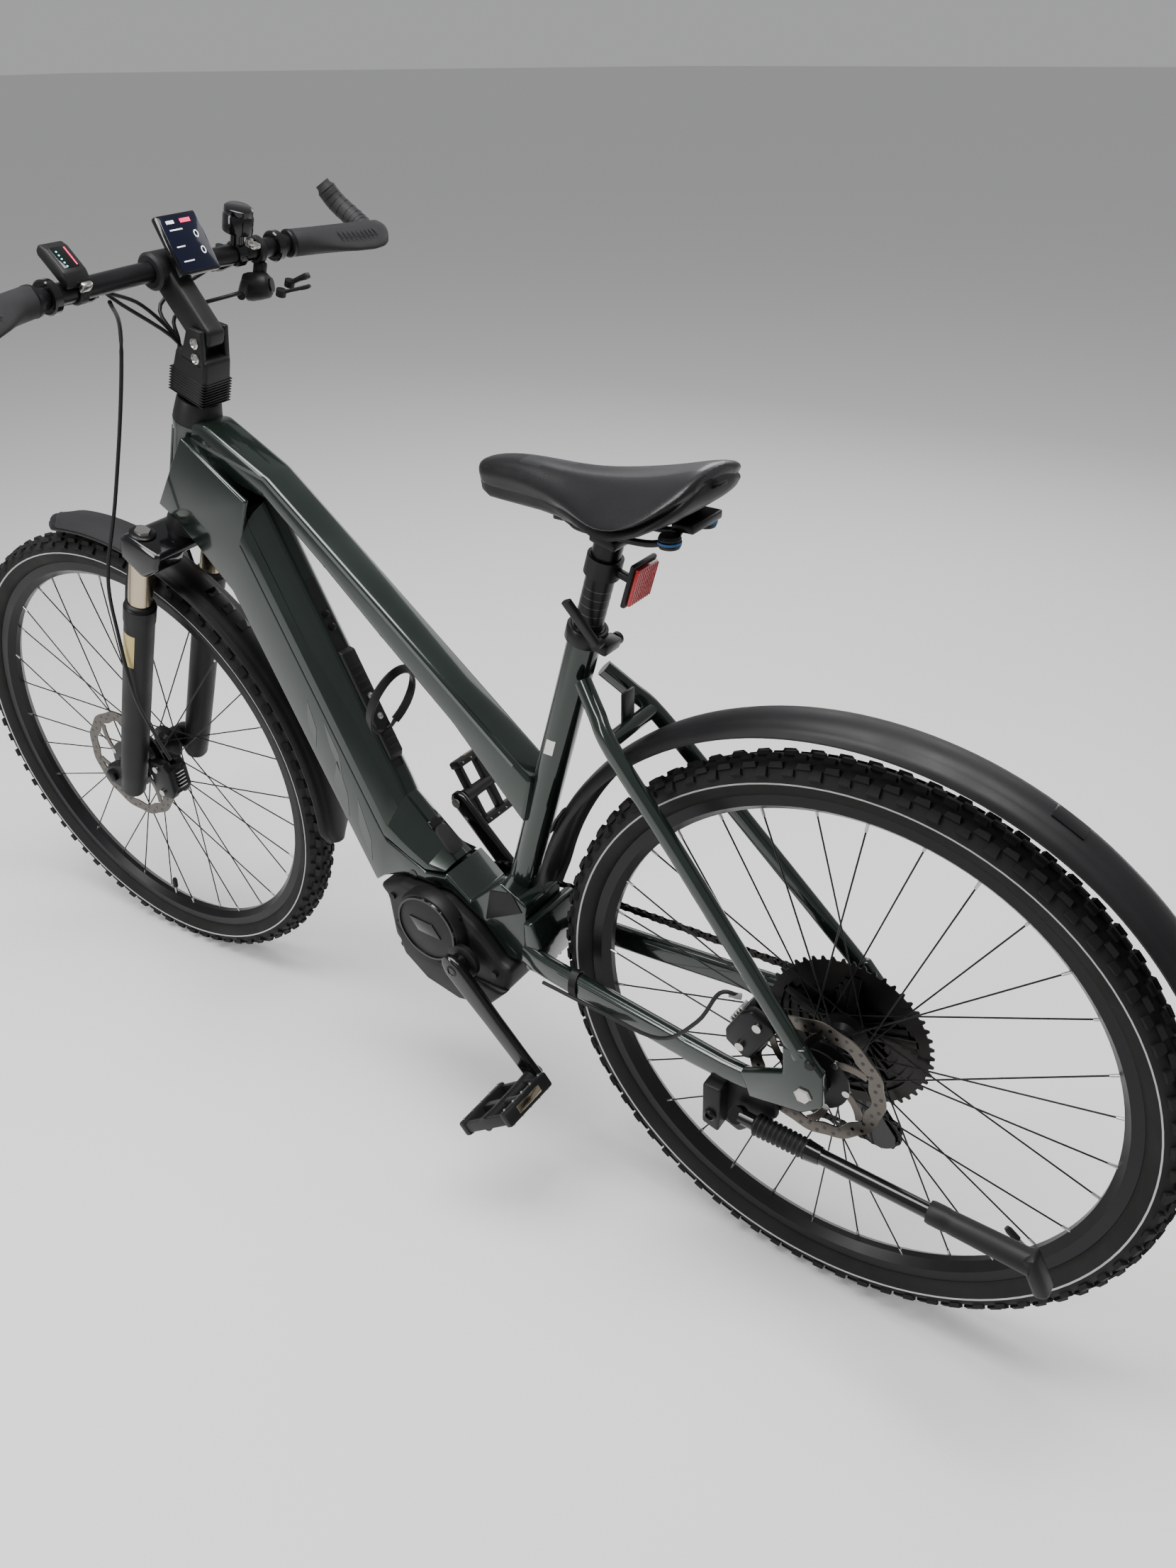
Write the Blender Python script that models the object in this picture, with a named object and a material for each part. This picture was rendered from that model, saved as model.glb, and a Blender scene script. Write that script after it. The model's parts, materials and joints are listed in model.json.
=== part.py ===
"""Electric trekking bicycle with a folding side stand.

Metres, +Z up, front of the bicycle towards +X, its left side towards +Y.
Everything hangs from the empty "bicycle", which stands at the rear wheel's
contact point, so distances along X are measured from the rear axle.
"""

import math

import bmesh
import bpy
from mathutils import Matrix, Vector

# ---- driving dimensions -------------------------------------------------------------------
WHEELBASE = 1.160
TYRE_R = 0.358
TYRE_W = 0.047
RIM_R = 0.317
RIM_INNER_R = 0.2965
HEAD_ANGLE = math.radians(69.5)
SEAT_ANGLE = math.radians(74.7)
FORK_OFFSET = 0.048
STEER = math.radians(3.66)
BB = Vector((0.482, 0.0, 0.298))
CRANK = 0.170
CRANK_ANGLE = math.radians(45.0)
SEAT_TUBE_FOOT = Vector((0.4215, 0.0, 0.440))
SEAT_TUBE_R = 0.0185
SEATPOST_R = 0.0156
CHAINRING_R = 0.0765
COG_R = 0.0400
SPOKES = 32
SPOKE_LEAN = math.radians(62)
SPOKE_TOP_R = 0.2990
GAP = 0.0003
BIKE_MIDDLE = 0.5795
CHAIN_Y = -0.0495
PULLEY_R = 0.0215
PULLEY_UPPER = (-0.012, 0.262)
PULLEY_LOWER = (-0.050, 0.206)
FRONT_DISC_R = 0.090
REAR_DISC_R = 0.080
FRONT_DISC_Y = 0.0397
REAR_DISC_Y = 0.0587
FRAME_Y = 0.037
DOWN_TUBE_LOW = Vector((0.655, 0.0, 0.337))
DOWN_TUBE_HIGH = Vector((0.848, 0.0, 0.712))

HEAD_UP = Vector((-math.cos(HEAD_ANGLE), 0.0, math.sin(HEAD_ANGLE)))
HEAD_FORWARD = Vector((math.sin(HEAD_ANGLE), 0.0, math.cos(HEAD_ANGLE)))
HEAD_FOOT = Vector((WHEELBASE, 0.0, TYRE_R)) - HEAD_FORWARD * FORK_OFFSET
SEAT_UP = Vector((-math.cos(SEAT_ANGLE), 0.0, math.sin(SEAT_ANGLE)))
DOWN_UP = (DOWN_TUBE_HIGH - DOWN_TUBE_LOW).normalized()
DOWN_OUT = Vector((-DOWN_UP.z, 0.0, DOWN_UP.x))

for old in list(bpy.data.objects):
    bpy.data.objects.remove(old)

PARTS = bpy.data.collections.new("bicycle")
CUTTERS = bpy.data.collections.new("cutters")
bpy.context.scene.collection.children.link(PARTS)
bpy.context.scene.collection.children.link(CUTTERS)
CUTTERS.hide_render = True


# ---- materials ----------------------------------------------------------------------------
def material(name, colour, roughness, metallic=0.0):
    made = bpy.data.materials.new(name)
    made.use_nodes = True
    shader = made.node_tree.nodes["Principled BSDF"]
    shader.inputs["Base Color"].default_value = (*colour, 1.0)
    shader.inputs["Roughness"].default_value = roughness
    shader.inputs["Metallic"].default_value = metallic
    return made


PAINT = material("green_paint", (0.028, 0.042, 0.033), 0.22, 0.45)
BLACK = material("black_plastic", (0.018, 0.018, 0.020), 0.48)
ANODISED = material("black_anodised", (0.014, 0.014, 0.015), 0.34, 0.6)
RUBBER = material("tyre_rubber", (0.022, 0.022, 0.022), 0.80)
GRIP = material("grip_rubber", (0.030, 0.030, 0.031), 0.72)
STEEL = material("disc_steel", (0.30, 0.27, 0.23), 0.32, 0.9)
CHAIN_STEEL = material("chain_steel", (0.09, 0.085, 0.08), 0.38, 0.9)
BRONZE = material("bronze_tube", (0.42, 0.35, 0.25), 0.25, 0.85)
VINYL = material("saddle_vinyl", (0.030, 0.030, 0.032), 0.42)
RED = material("red_reflector", (0.35, 0.008, 0.010), 0.12)
GLASS = material("screen_glass", (0.010, 0.012, 0.030), 0.08)


# ---- building blocks ----------------------------------------------------------------------
def empty(name, parent, location, rotation=None):
    made = bpy.data.objects.new(name, None)
    PARTS.objects.link(made)
    made.parent = parent
    made.location = location
    if rotation is not None:
        made.rotation_euler = rotation.to_euler()
    return made


def place(name, data, parent, look, location=(0, 0, 0), rotation=None, angle=30):
    made = bpy.data.objects.new(name, data)
    PARTS.objects.link(made)
    made.parent = parent
    made.location = location
    if rotation is not None:
        made.rotation_euler = rotation.to_euler()
    if look is not None:
        data.materials.append(look)
    if isinstance(data, bpy.types.Mesh):
        data.shade_smooth()
        data.set_sharp_from_angle(angle=math.radians(angle))
    return made


def mesh_from(shape, name):
    data = bpy.data.meshes.new(name)
    bmesh.ops.recalc_face_normals(shape, faces=shape.faces)
    shape.to_mesh(data)
    shape.free()
    return data


def box(size, centre=(0, 0, 0), bevel=0.0, turn=None):
    shape = bmesh.new()
    bmesh.ops.create_cube(shape, size=1.0)
    bmesh.ops.scale(shape, vec=size, verts=shape.verts)
    if bevel:
        bmesh.ops.bevel(shape, geom=shape.edges[:], offset=bevel, segments=1, affect="EDGES")
    if turn is not None:
        bmesh.ops.rotate(shape, cent=(0, 0, 0), matrix=turn, verts=shape.verts)
    bmesh.ops.translate(shape, vec=centre, verts=shape.verts)
    return mesh_from(shape, "box")


def rod(start, end, radius, radius_end=None, sides=12):
    """A closed round bar, or a cone frustum, between two points."""
    start, end = Vector(start), Vector(end)
    shape = bmesh.new()
    bmesh.ops.create_cone(
        shape, cap_ends=True, segments=sides, radius1=radius,
        radius2=radius if radius_end is None else radius_end, depth=(end - start).length)
    turn = (end - start).to_track_quat("Z", "Y").to_matrix()
    bmesh.ops.rotate(shape, cent=(0, 0, 0), matrix=turn, verts=shape.verts)
    bmesh.ops.translate(shape, vec=(start + end) / 2, verts=shape.verts)
    return mesh_from(shape, "rod")


def slab(outline, low, high, bevel=0.0, axis="Y"):
    """A side outline of (x, z) points made solid between two distances across the bicycle."""
    shape = bmesh.new()
    face = shape.faces.new([shape.verts.new((x, low, z)) for x, z in outline])
    grown = bmesh.ops.extrude_face_region(shape, geom=[face])["geom"]
    moved = [item for item in grown if isinstance(item, bmesh.types.BMVert)]
    bmesh.ops.translate(shape, vec=(0, high - low, 0), verts=moved)
    if bevel:
        rims = [e for e in shape.edges if abs(e.verts[0].co.y - e.verts[1].co.y) < 1e-7]
        bmesh.ops.bevel(shape, geom=rims, offset=bevel, segments=1, affect="EDGES")
    if axis == "Z":
        turn = Matrix.Rotation(math.pi / 2, 3, "X")
        bmesh.ops.rotate(shape, cent=(0, 0, 0), matrix=turn, verts=shape.verts)
    return mesh_from(shape, "slab")


def loft(sections):
    """A closed skin through rings of the same number of points."""
    shape = bmesh.new()
    rings = [[shape.verts.new(point) for point in ring] for ring in sections]
    count = len(rings[0])
    for first, second in zip(rings, rings[1:]):
        for i in range(count):
            j = (i + 1) % count
            shape.faces.new((first[i], first[j], second[j]))
            shape.faces.new((first[i], second[j], second[i]))
    shape.faces.new(rings[0])
    shape.faces.new(rings[-1])
    return mesh_from(shape, "loft")


def sweep(points, radius, sides=6, closed=False):
    """A round cord of constant section along a line of points."""
    points = [Vector(point) for point in points]
    last = len(points) - 1
    shape = bmesh.new()
    rings = []
    side = None
    for i, point in enumerate(points):
        before = points[i - 1] if i or closed else point
        after = points[(i + 1) % len(points)] if i < last or closed else point
        run = (after - before).normalized()
        side = run.orthogonal() if side is None else side - run * side.dot(run)
        side.normalize()
        other = run.cross(side)
        rings.append([shape.verts.new(point + (side * math.cos(a) + other * math.sin(a)) * radius)
                      for a in (math.tau * k / sides for k in range(sides))])
    pairs = list(zip(rings, rings[1:]))
    if closed:
        pairs.append((rings[-1], rings[0]))
    for first, second in pairs:
        for k in range(sides):
            j = (k + 1) % sides
            shape.faces.new((first[k], first[j], second[j], second[k]))
    if not closed:
        shape.faces.new(rings[0])
        shape.faces.new(rings[-1])
    return mesh_from(shape, "cord")


def smooth_route(points, steps=5):
    """Points along a Catmull-Rom curve through the given ones."""
    points = [Vector(point) for point in points]
    padded = [points[0] * 2 - points[1], *points, points[-1] * 2 - points[-2]]
    route = []
    for a, b, c, d in zip(padded, padded[1:], padded[2:], padded[3:]):
        for step in range(steps):
            t = step / steps
            route.append(0.5 * (2 * b + (c - a) * t + (2 * a - 5 * b + 4 * c - d) * t * t
                                + (3 * b - a - 3 * c + d) * t ** 3))
    return [*route, points[-1]]


def lathe(profile, steps=24, axis="Y"):
    """A closed profile of (radius, along) points turned about an axis."""
    shape = bmesh.new()
    rings = []
    for step in range(steps):
        angle = math.tau * step / steps
        rings.append([shape.verts.new((radius * math.cos(angle), along, radius * math.sin(angle)))
                      for radius, along in profile])
    count = len(profile)
    for first, second in zip(rings, rings[1:] + rings[:1]):
        for i in range(count):
            j = (i + 1) % count
            shape.faces.new((first[i], first[j], second[j], second[i]))
    if axis == "Z":
        turn = Matrix.Rotation(math.pi / 2, 3, "X")
        bmesh.ops.rotate(shape, cent=(0, 0, 0), matrix=turn, verts=shape.verts)
    return mesh_from(shape, "lathe")


def hoop(inner, outer, low, high, steps=24, axis="Y"):
    return lathe([(outer, low), (outer, high), (inner, high), (inner, low)], steps, axis)


def combine(target, data, operation):
    """A Boolean with a mesh given in the target's own axes."""
    tool = bpy.data.objects.new("tool", data)
    CUTTERS.objects.link(tool)
    tool.parent = target
    tool.hide_render = True
    tool.display_type = "WIRE"
    change = target.modifiers.new(operation.lower(), "BOOLEAN")
    change.operation = operation
    change.object = tool


def unite(target, *shapes):
    for data in shapes:
        combine(target, data, "UNION")


def cut(target, *shapes):
    for data in shapes:
        combine(target, data, "DIFFERENCE")


SEAT_TURN = Matrix.Rotation(SEAT_ANGLE - math.pi / 2, 3, "Y")
BIKE = empty("bicycle_axes", None, (-BIKE_MIDDLE, 0, 0))


# ---- frame --------------------------------------------------------------------------------
def head_point(height, forward=0.0, side=0.0):
    """A point given along and ahead of the steering axis, in bicycle coordinates."""
    point = HEAD_FOOT + HEAD_UP * height + HEAD_FORWARD * forward
    return (point.x, side, point.z)


def seat_point(height, side=0.0, back=0.0):
    point = SEAT_TUBE_FOOT + SEAT_UP * height
    return (point.x - back, side, point.z)


def down_point(along, out, side=0.0):
    """A point along the down tube's lower edge and out from it towards the top tube."""
    point = DOWN_TUBE_LOW + DOWN_UP * along + DOWN_OUT * out
    return (point.x, side, point.z)


def outline(*points):
    return [(point[0], point[2]) for point in points]


SHELL_DEPTH = 0.058
COVER_DEPTH = 0.106
PACK_LOW, PACK_HIGH = 0.128, 0.520
PACK_Y = 0.029
COVER_TOE = Vector((0.5300, 0.4030))


def main_frame():
    """Head tube, down tube shell, motor bracket, top tube and seat tube welded into one piece."""
    shell = [
        down_point(0.498, 0.020), head_point(0.490, 0.015), head_point(0.484, -0.020),
        tuple(DOWN_TUBE_HIGH), tuple(DOWN_TUBE_LOW), (0.640, 0, 0.350), (0.600, 0, 0.3695),
        (0.520, 0, 0.3745), (0.470, 0, 0.346), (0.432, 0, 0.306), (0.4003, 0, 0.306),
        (0.4003, 0, 0.400), (0.440, 0, 0.420), (0.4900, 0, 0.3700), (0.5290, 0, 0.3990),
        (0.5305, 0, 0.3925), (0.5640, 0, 0.3870), (0.6270, 0, 0.4130),
        down_point(0.074, SHELL_DEPTH), down_point(0.468, SHELL_DEPTH),
        (0.795, 0, 0.838), head_point(0.600, -0.010),
    ]
    frame = place("main_frame", slab(outline(*shell), -FRAME_Y, FRAME_Y, 0.009), BIKE, PAINT)
    top_tube = [
        head_point(0.612, 0.005), (0.866, 0, 0.916), (0.772, 0, 0.870), (0.395, 0, 0.577),
        (0.408, 0, 0.512), (0.440, 0, 0.545), (0.510, 0, 0.619), (0.612, 0, 0.704),
        (0.692, 0, 0.773), (0.775, 0, 0.840), (0.868, 0, 0.858),
    ]
    unite(
        frame,
        slab(outline(*top_tube), -0.024, 0.024, 0.007),
        rod(head_point(0.480), head_point(0.612), 0.0285, sides=20),
        rod(head_point(0.606), head_point(0.640), 0.0290, 0.0255, sides=20),
        rod(seat_point(-0.060), seat_point(0.358), SEAT_TUBE_R, sides=16),
    )
    pack_room = [
        down_point(PACK_LOW - 0.012, 0.014), down_point(PACK_HIGH + 0.003, 0.014),
        down_point(PACK_HIGH + 0.003, 0.120), down_point(PACK_LOW - 0.012, 0.120),
    ]
    cut(
        frame,
        slab(outline(*pack_room), -PACK_Y - 0.002, PACK_Y + 0.002),
        rod(head_point(0.40), head_point(0.70), 0.0205, sides=16),
        rod(seat_point(0.120), seat_point(0.50), SEATPOST_R + GAP, sides=16),
    )


def dropout(side):
    inner, outer = sorted((side * 0.0765, side * 0.0885))
    plate = [(0.062, 0.318), (0.000, 0.330), (-0.022, 0.350), (-0.018, 0.392), (0.006, 0.418),
             (0.030, 0.412), (0.026, 0.375), (0.075, 0.350)]
    return slab(plate, inner, outer, 0.002)


def rear_triangle():
    """Chain stays with their yoke, seat stays with their bridge, and the two dropouts."""
    yoke = [(0.4, 0.308), (0.4, 0.382), (0.386, 0.386), (0.374, 0.350), (0.378, 0.308)]
    rear = place("rear_triangle", slab(yoke, -0.046, 0.046, 0.003), BIKE, PAINT)
    for side in (1, -1):
        unite(
            rear,
            rod((0.386, side * 0.046, 0.331), (0.140, side * 0.071, 0.331), 0.0165, sides=10),
            rod((0.146, side * 0.0705, 0.331), (0.040, side * 0.083, 0.338), 0.0160, 0.0115, 10),
            rod((0.318, side * 0.020, 0.721), (0.272, side * 0.044, 0.676), 0.0115, sides=10),
            rod((0.276, side * 0.0425, 0.680), (0.010, side * 0.0815, 0.404), 0.0105, sides=10),
            dropout(side),
        )
    unite(rear, rod((0.274, -0.044, 0.678), (0.274, 0.044, 0.678), 0.0095, sides=10),
          box((0.004, 0.022, 0.050), (0.2785, 0, 0.694), 0.001))
    cut(rear, rod(seat_point(0), seat_point(0.36), SEAT_TUBE_R + GAP, sides=16))
    hanger = [(0.020, 0.3400), (-0.014, 0.3400), (-0.020, 0.300), (0.006, 0.296)]
    unite(rear, rod((0, -0.0910, TYRE_R), (0, 0.0900, TYRE_R), 0.0075, sides=12),
          slab(hanger, -0.0885, -0.0780, 0.002),
          rod((-0.008, -0.0930, 0.306), (-0.008, -0.0780, 0.306), 0.012, sides=12))


def motor():
    casing = [(0.624, 0.333), (0.618, 0.270), (0.582, 0.228), (0.522, 0.210), (0.462, 0.224),
              (0.424, 0.262), (0.418, 0.2995), (0.434, 0.3015), (0.474, 0.3415),
              (0.521, 0.3700), (0.600, 0.3655), (0.6385, 0.3465)]
    unit = place("motor_unit", slab(casing, -0.044, 0.052, 0.006), BIKE, BLACK)
    unite(unit, rod((0.541, 0.045, 0.325), (0.541, 0.068, 0.325), 0.052, 0.046, 20),
          rod((BB.x, -0.050, BB.z), (BB.x, 0.072, BB.z), 0.024, sides=16))


def seat_collar():
    collar = place("seat_collar", hoop(SEAT_TUBE_R + GAP, 0.0225, -0.009, 0.009, 20, "Z"), BIKE,
                   ANODISED, seat_point(0.346), SEAT_TURN)
    unite(collar, box((0.016, 0.030, 0.014), (-0.0275, 0.0, 0.0), 0.002))


def mudguard(name, parent, radius, half_width, start, end, crown, sides=15):
    """An arched strip round the wheel from one angle to another, 2 mm thick."""
    rings = []
    for step in range(sides + 1):
        angle = math.radians(start + (end - start) * step / sides)
        across = [(-1.0, -crown), (-0.62, -0.35 * crown), (0.0, 0.0), (0.62, -0.35 * crown), (1.0, -crown)]
        outer = [(radius + drop, half_width * part) for part, drop in across]
        inner = [(level - 0.0022, y * 0.97) for level, y in reversed(outer)]
        rings.append([(r * math.cos(angle), y, r * math.sin(angle)) for r, y in outer + inner])
    return place(name, loft(rings), parent, BLACK)


def rear_mudguard():
    mudguard("rear_mudguard", empty("rear_wheel_axis", BIKE, (0, 0, TYRE_R)),
             0.4045, 0.031, 8, 152, 0.016)


def caliper(name, parent, axle, reach, across):
    """Two halves astride the disc, bridged outside its rim."""
    location = (axle[0] + reach[0], across, axle[1] + reach[1])
    turn = Matrix.Rotation(math.atan2(*reach), 3, "Y")
    body = place(name, box((0.066, 0.015, 0.040), (0, 0.0120, 0), 0.004), parent, BLACK, location, turn)
    unite(body, box((0.066, 0.013, 0.040), (0, -0.0110, 0), 0.004),
          box((0.0470, 0.0240, 0.0115), (0.0006, 0.0004, 0.0165)))


def kickstand_bracket():
    """Plate under the left chain stay, with a thicker front block for its clamp bolt."""
    shape = [(0.118, 0.3125), (0.038, 0.3135), (0.034, 0.284), (0.078, 0.236), (0.116, 0.250)]
    block = [(0.117, 0.3115), (0.094, 0.3115), (0.094, 0.246), (0.115, 0.252)]
    bracket = place("kickstand_bracket", slab(shape, 0.060, 0.0715, 0.002), BIKE, BLACK)
    unite(bracket, slab(block, 0.066, 0.093, 0.002))


def crossing(first, second):
    """Angles at which a belt leaves one (centre, radius, turn) wheel and meets the next."""
    (centre_a, radius_a, turn_a), (centre_b, radius_b, turn_b) = first, second
    run = centre_b - centre_a
    lean = math.acos((turn_b * radius_b - turn_a * radius_a) / run.length)
    normal = math.atan2(run.y, run.x) + lean
    return tuple(normal + (math.pi if turn > 0 else 0.0) for turn in (turn_a, turn_b))


def wrapped(wheels, steps):
    """The closed line of a belt round wheels; a turn of 1 is anticlockwise and -1 clockwise."""
    hops = [crossing(wheel, after) for wheel, after in zip(wheels, wheels[1:] + wheels[:1])]
    line = []
    for (centre, radius, turn), hop_in, hop_out in zip(wheels, hops[-1:] + hops[:-1], hops):
        sweep = (turn * (hop_out[0] - hop_in[1])) % math.tau
        count = max(2, round(steps * sweep / math.tau))
        for step in range(count + 1):
            angle = hop_in[1] + turn * sweep * step / count
            line.append(centre + Vector((math.cos(angle), math.sin(angle))) * radius)
    return line


def chain():
    """The closed run round the chainring, a middle sprocket and the two pulleys."""
    line = wrapped([
        (Vector((BB.x, BB.z)), CHAINRING_R + 0.0045, -1),
        (Vector(PULLEY_LOWER), PULLEY_R + 0.0045, -1),
        (Vector(PULLEY_UPPER), PULLEY_R + 0.0045, 1),
        (Vector((0.0, TYRE_R)), COG_R + 0.0045, -1),
    ], 22)
    half_height = 0.0036
    shape = bmesh.new()
    sections = []
    for i, point in enumerate(line):
        run = (line[(i + 1) % len(line)] - line[i - 1]).normalized()
        out = Vector((-run.y, run.x)) * half_height
        corners = ((out, -0.003), (out, 0.003), (-out, 0.003), (-out, -0.003))
        sections.append([shape.verts.new((point.x + side.x, CHAIN_Y + across, point.y + side.y))
                         for side, across in corners])
    for first, second in zip(sections, sections[1:] + sections[:1]):
        for i in range(4):
            j = (i + 1) % 4
            shape.faces.new((first[i], first[j], second[j], second[i]))
    place("chain", mesh_from(shape, "chain"), BIKE, CHAIN_STEEL)


# ---- battery ------------------------------------------------------------------------------
def battery():
    swing = empty("battery_axis", BIKE, down_point(0.500, 0.100))
    back = Matrix.Translation(-Vector(down_point(0.500, 0.100)))

    def local(data):
        data.transform(back)
        return data

    pack = [down_point(PACK_LOW, 0.016), down_point(PACK_HIGH - 0.060, 0.016),
            down_point(PACK_HIGH - 0.010, 0.040), down_point(PACK_HIGH - 0.010, 0.070),
            down_point(PACK_LOW, 0.078)]
    place("battery_pack", local(slab(outline(*pack), -PACK_Y, PACK_Y, 0.004)), swing, BLACK)
    rim = 0.0585
    cover = [down_point(0.0765, rim), down_point(0.468, rim), down_point(0.4965, 0.0890),
             (0.7925, 0, 0.8335), down_point(0.440, 0.1040), down_point(0.100, COVER_DEPTH),
             (COVER_TOE.x, 0, COVER_TOE.y), (0.5312, 0, 0.3970), (0.5642, 0, 0.3905), (0.6262, 0, 0.4165)]
    lid = place("battery_cover", local(slab(outline(*cover), -0.0365, 0.0365, 0.003)), swing, PAINT)
    hollow = [down_point(PACK_LOW - 0.008, 0.050), down_point(0.500, 0.050),
              down_point(0.500, 0.0805), down_point(PACK_LOW - 0.008, 0.0805)]
    cut(lid, local(slab(outline(*hollow), -0.0295, 0.0295)))
    return swing, local


def bottle_cage(swing, local):
    """Back plate with a single loop that holds the bottle."""
    plate = [down_point(0.150, COVER_DEPTH + GAP), down_point(0.305, COVER_DEPTH + GAP - 0.0004),
             down_point(0.300, 0.113), down_point(0.158, 0.113)]
    cage = place("bottle_cage", local(slab(outline(*plate), -0.012, 0.012, 0.002)), swing, BLACK)
    axis_along, axis_out = 0.225, 0.147
    points = []
    for step in range(19):
        angle = math.radians(-150 + 300 * step / 18)
        lift = 0.055 * math.cos(angle) * 0.6
        points.append(down_point(axis_along + lift, axis_out + 0.036 * math.cos(angle),
                                 0.038 * math.sin(angle)))
    foot = down_point(axis_along - 0.030, 0.1095, -0.004)
    end = down_point(axis_along - 0.030, 0.1095, 0.004)
    unite(cage, local(sweep([foot, *points, end], 0.0035)))


def charge_flap(swing):
    """Rubber lid of the charging socket, hinged at its upper end."""
    knee = down_point(0.100, COVER_DEPTH)
    knee = Vector((knee[0], knee[2]))
    run = (COVER_TOE - knee).normalized()
    normal = Vector((run.y, -run.x))
    hinge = knee + run * 0.0415 + normal * GAP
    anchor = Vector((hinge.x, 0, hinge.y)) - Vector(down_point(0.500, 0.100))
    pivot = empty("charge_flap_axis", swing, anchor)
    turn = Matrix.Rotation(math.atan2(-run.y, run.x), 3, "Y")
    flap = place("charge_port_flap", box((0.052, 0.030, 0.004), (0.029, 0, -0.0030), 0.0012), pivot,
                 GRIP, rotation=turn)
    unite(flap, rod((0.0030, -0.014, -0.0030), (0.0030, 0.014, -0.0030), 0.0028, sides=8))


# ---- saddle and seatpost ------------------------------------------------------------------
def saddle_ring(along, half_width, top, drop, sag=0.0):
    """One cross-section of the seat, as (across, height) points of a rounded slab."""
    shape = ((0.0, 0.0), (0.45, -0.04), (0.80, -0.22), (1.0, -0.62), (0.92, -1.0), (0.5, -0.86), (0.0, -0.80))
    right = [(along, -half_width * w, top + drop * h - sag * w * w) for w, h in shape]
    left = [(along, half_width * w, top + drop * h - sag * w * w) for w, h in reversed(shape[1:-1])]
    return right + left


def saddle_body(lower, shrink):
    """Sections from tail to nose; lower moves it down and shrink pulls its edge in."""
    table = ((-0.103, 0.050, 0.068, 0.024, 0.004), (-0.088, 0.076, 0.066, 0.032, 0.016),
             (-0.045, 0.086, 0.056, 0.036, 0.030), (0.005, 0.062, 0.047, 0.040, 0.022),
             (0.055, 0.036, 0.043, 0.040, 0.008), (0.110, 0.024, 0.043, 0.040, 0.0),
             (0.150, 0.020, 0.038, 0.034, 0.0), (0.166, 0.011, 0.030, 0.020, 0.0))
    return loft([saddle_ring(along, half - shrink, top - lower, drop, sag)
                 for along, half, top, drop, sag in table])


def seat():
    post_axis = empty("seatpost_axis", BIKE, seat_point(0.345), SEAT_TURN)
    post = place("seatpost", rod((0, 0, -0.170), (0, 0, 0.112), SEATPOST_R - 0.0002, sides=16),
                 post_axis, ANODISED)
    unite(post, box((0.030, 0.033, 0.010), (0.0, 0, 0.1150), 0.002))
    band = place("reflector", hoop(SEATPOST_R + GAP, 0.0195, 0.0720, 0.0940, 16, "Z"), post_axis, RED)
    unite(band, box((0.026, 0.008, 0.008), (-0.030, 0, 0.0830), 0.001),
          box((0.010, 0.044, 0.049), (-0.044, 0, 0.0860), 0.003))
    tilt = empty("saddle_axis", BIKE, (0.291, 0.0, 0.905))
    frame = place("saddle_frame", box((0.026, 0.050, 0.0072), (0, 0, -0.0046), 0.001), tilt, ANODISED)
    for side in (1, -1):
        run = ((0.060, side * 0.010, -0.0060), (0.045, side * 0.018, -0.0070),
               (0.026, side * 0.0215, -0.0105), (-0.045, side * 0.0215, -0.0105),
               (-0.075, side * 0.024, 0.002), (-0.084, side * 0.024, 0.012))
        unite(frame, sweep(run, 0.0038, 8))
    unite(frame, box((0.022, 0.030, 0.008), (0.058, 0, -0.0065), 0.002),
          box((0.024, 0.056, 0.009), (-0.087, 0, 0.0145), 0.002))
    shell = place("saddle_shell", saddle_body(0.0080, 0.0045), tilt, BLACK)
    cut(shell, saddle_body(0.0005, -0.0003))
    place("saddle_cushion", saddle_body(0.0, 0.0), tilt, VINYL)


def seat_quick_release():
    """Cam lever of the seat collar, closed against the tube."""
    pivot = empty("quick_release_axis", BIKE, seat_point(0.346, 0.0215, 0.0262))
    lever = place("seat_quick_release", rod((-0.0050, 0, 0), (0.0050, 0, 0), 0.0062, sides=16), pivot,
                  ANODISED)
    unite(lever, sweep([(0, 0, 0), (0.004, 0.006, 0.012), (0.012, 0.016, 0.034), (0.020, 0.0235, 0.052)],
                       0.0045, 8))


# ---- drive --------------------------------------------------------------------------------
def crank_set():
    axis = empty("crank_axis", BIKE, BB, Matrix.Rotation(-CRANK_ANGLE, 3, "Y"))
    for name, side in (("left_crank", 1), ("right_crank", -1)):
        reach = -side * CRANK
        low, high = 0.0785, 0.0925
        arm = place(name, loft([[(x, side * y, z) for y, z in (
            (low, -h), (high, -h), (high, h), (low, h))] for x, h in (
                (-reach * 0.11, 0.008), (0.0, 0.0165), (reach * 0.5, 0.0135),
                (reach * 0.92, 0.0135), (reach * 1.075, 0.007))]), axis, ANODISED)
        unite(arm, rod((0, side * 0.0735, 0), (0, side * 0.0905, 0), 0.0150, sides=16))
        if side < 0:
            unite(arm, rod((0, -0.0515, 0), (0, -0.0760, 0), 0.0098, sides=16))
        pedal(side, axis, (reach, 0, 0))
    profile = [(0.0255, -0.0495), (CHAINRING_R, -0.0495), (CHAINRING_R, -0.0535), (0.0330, -0.0535),
               (0.0200, -0.0725), (0.0102, -0.0725), (0.0102, -0.0510), (0.0255, -0.0510)]
    place("chainring", lathe(profile, 36), axis, ANODISED)


PEDAL_TILT = {1: math.radians(140.0), -1: math.radians(60.0)}


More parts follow.
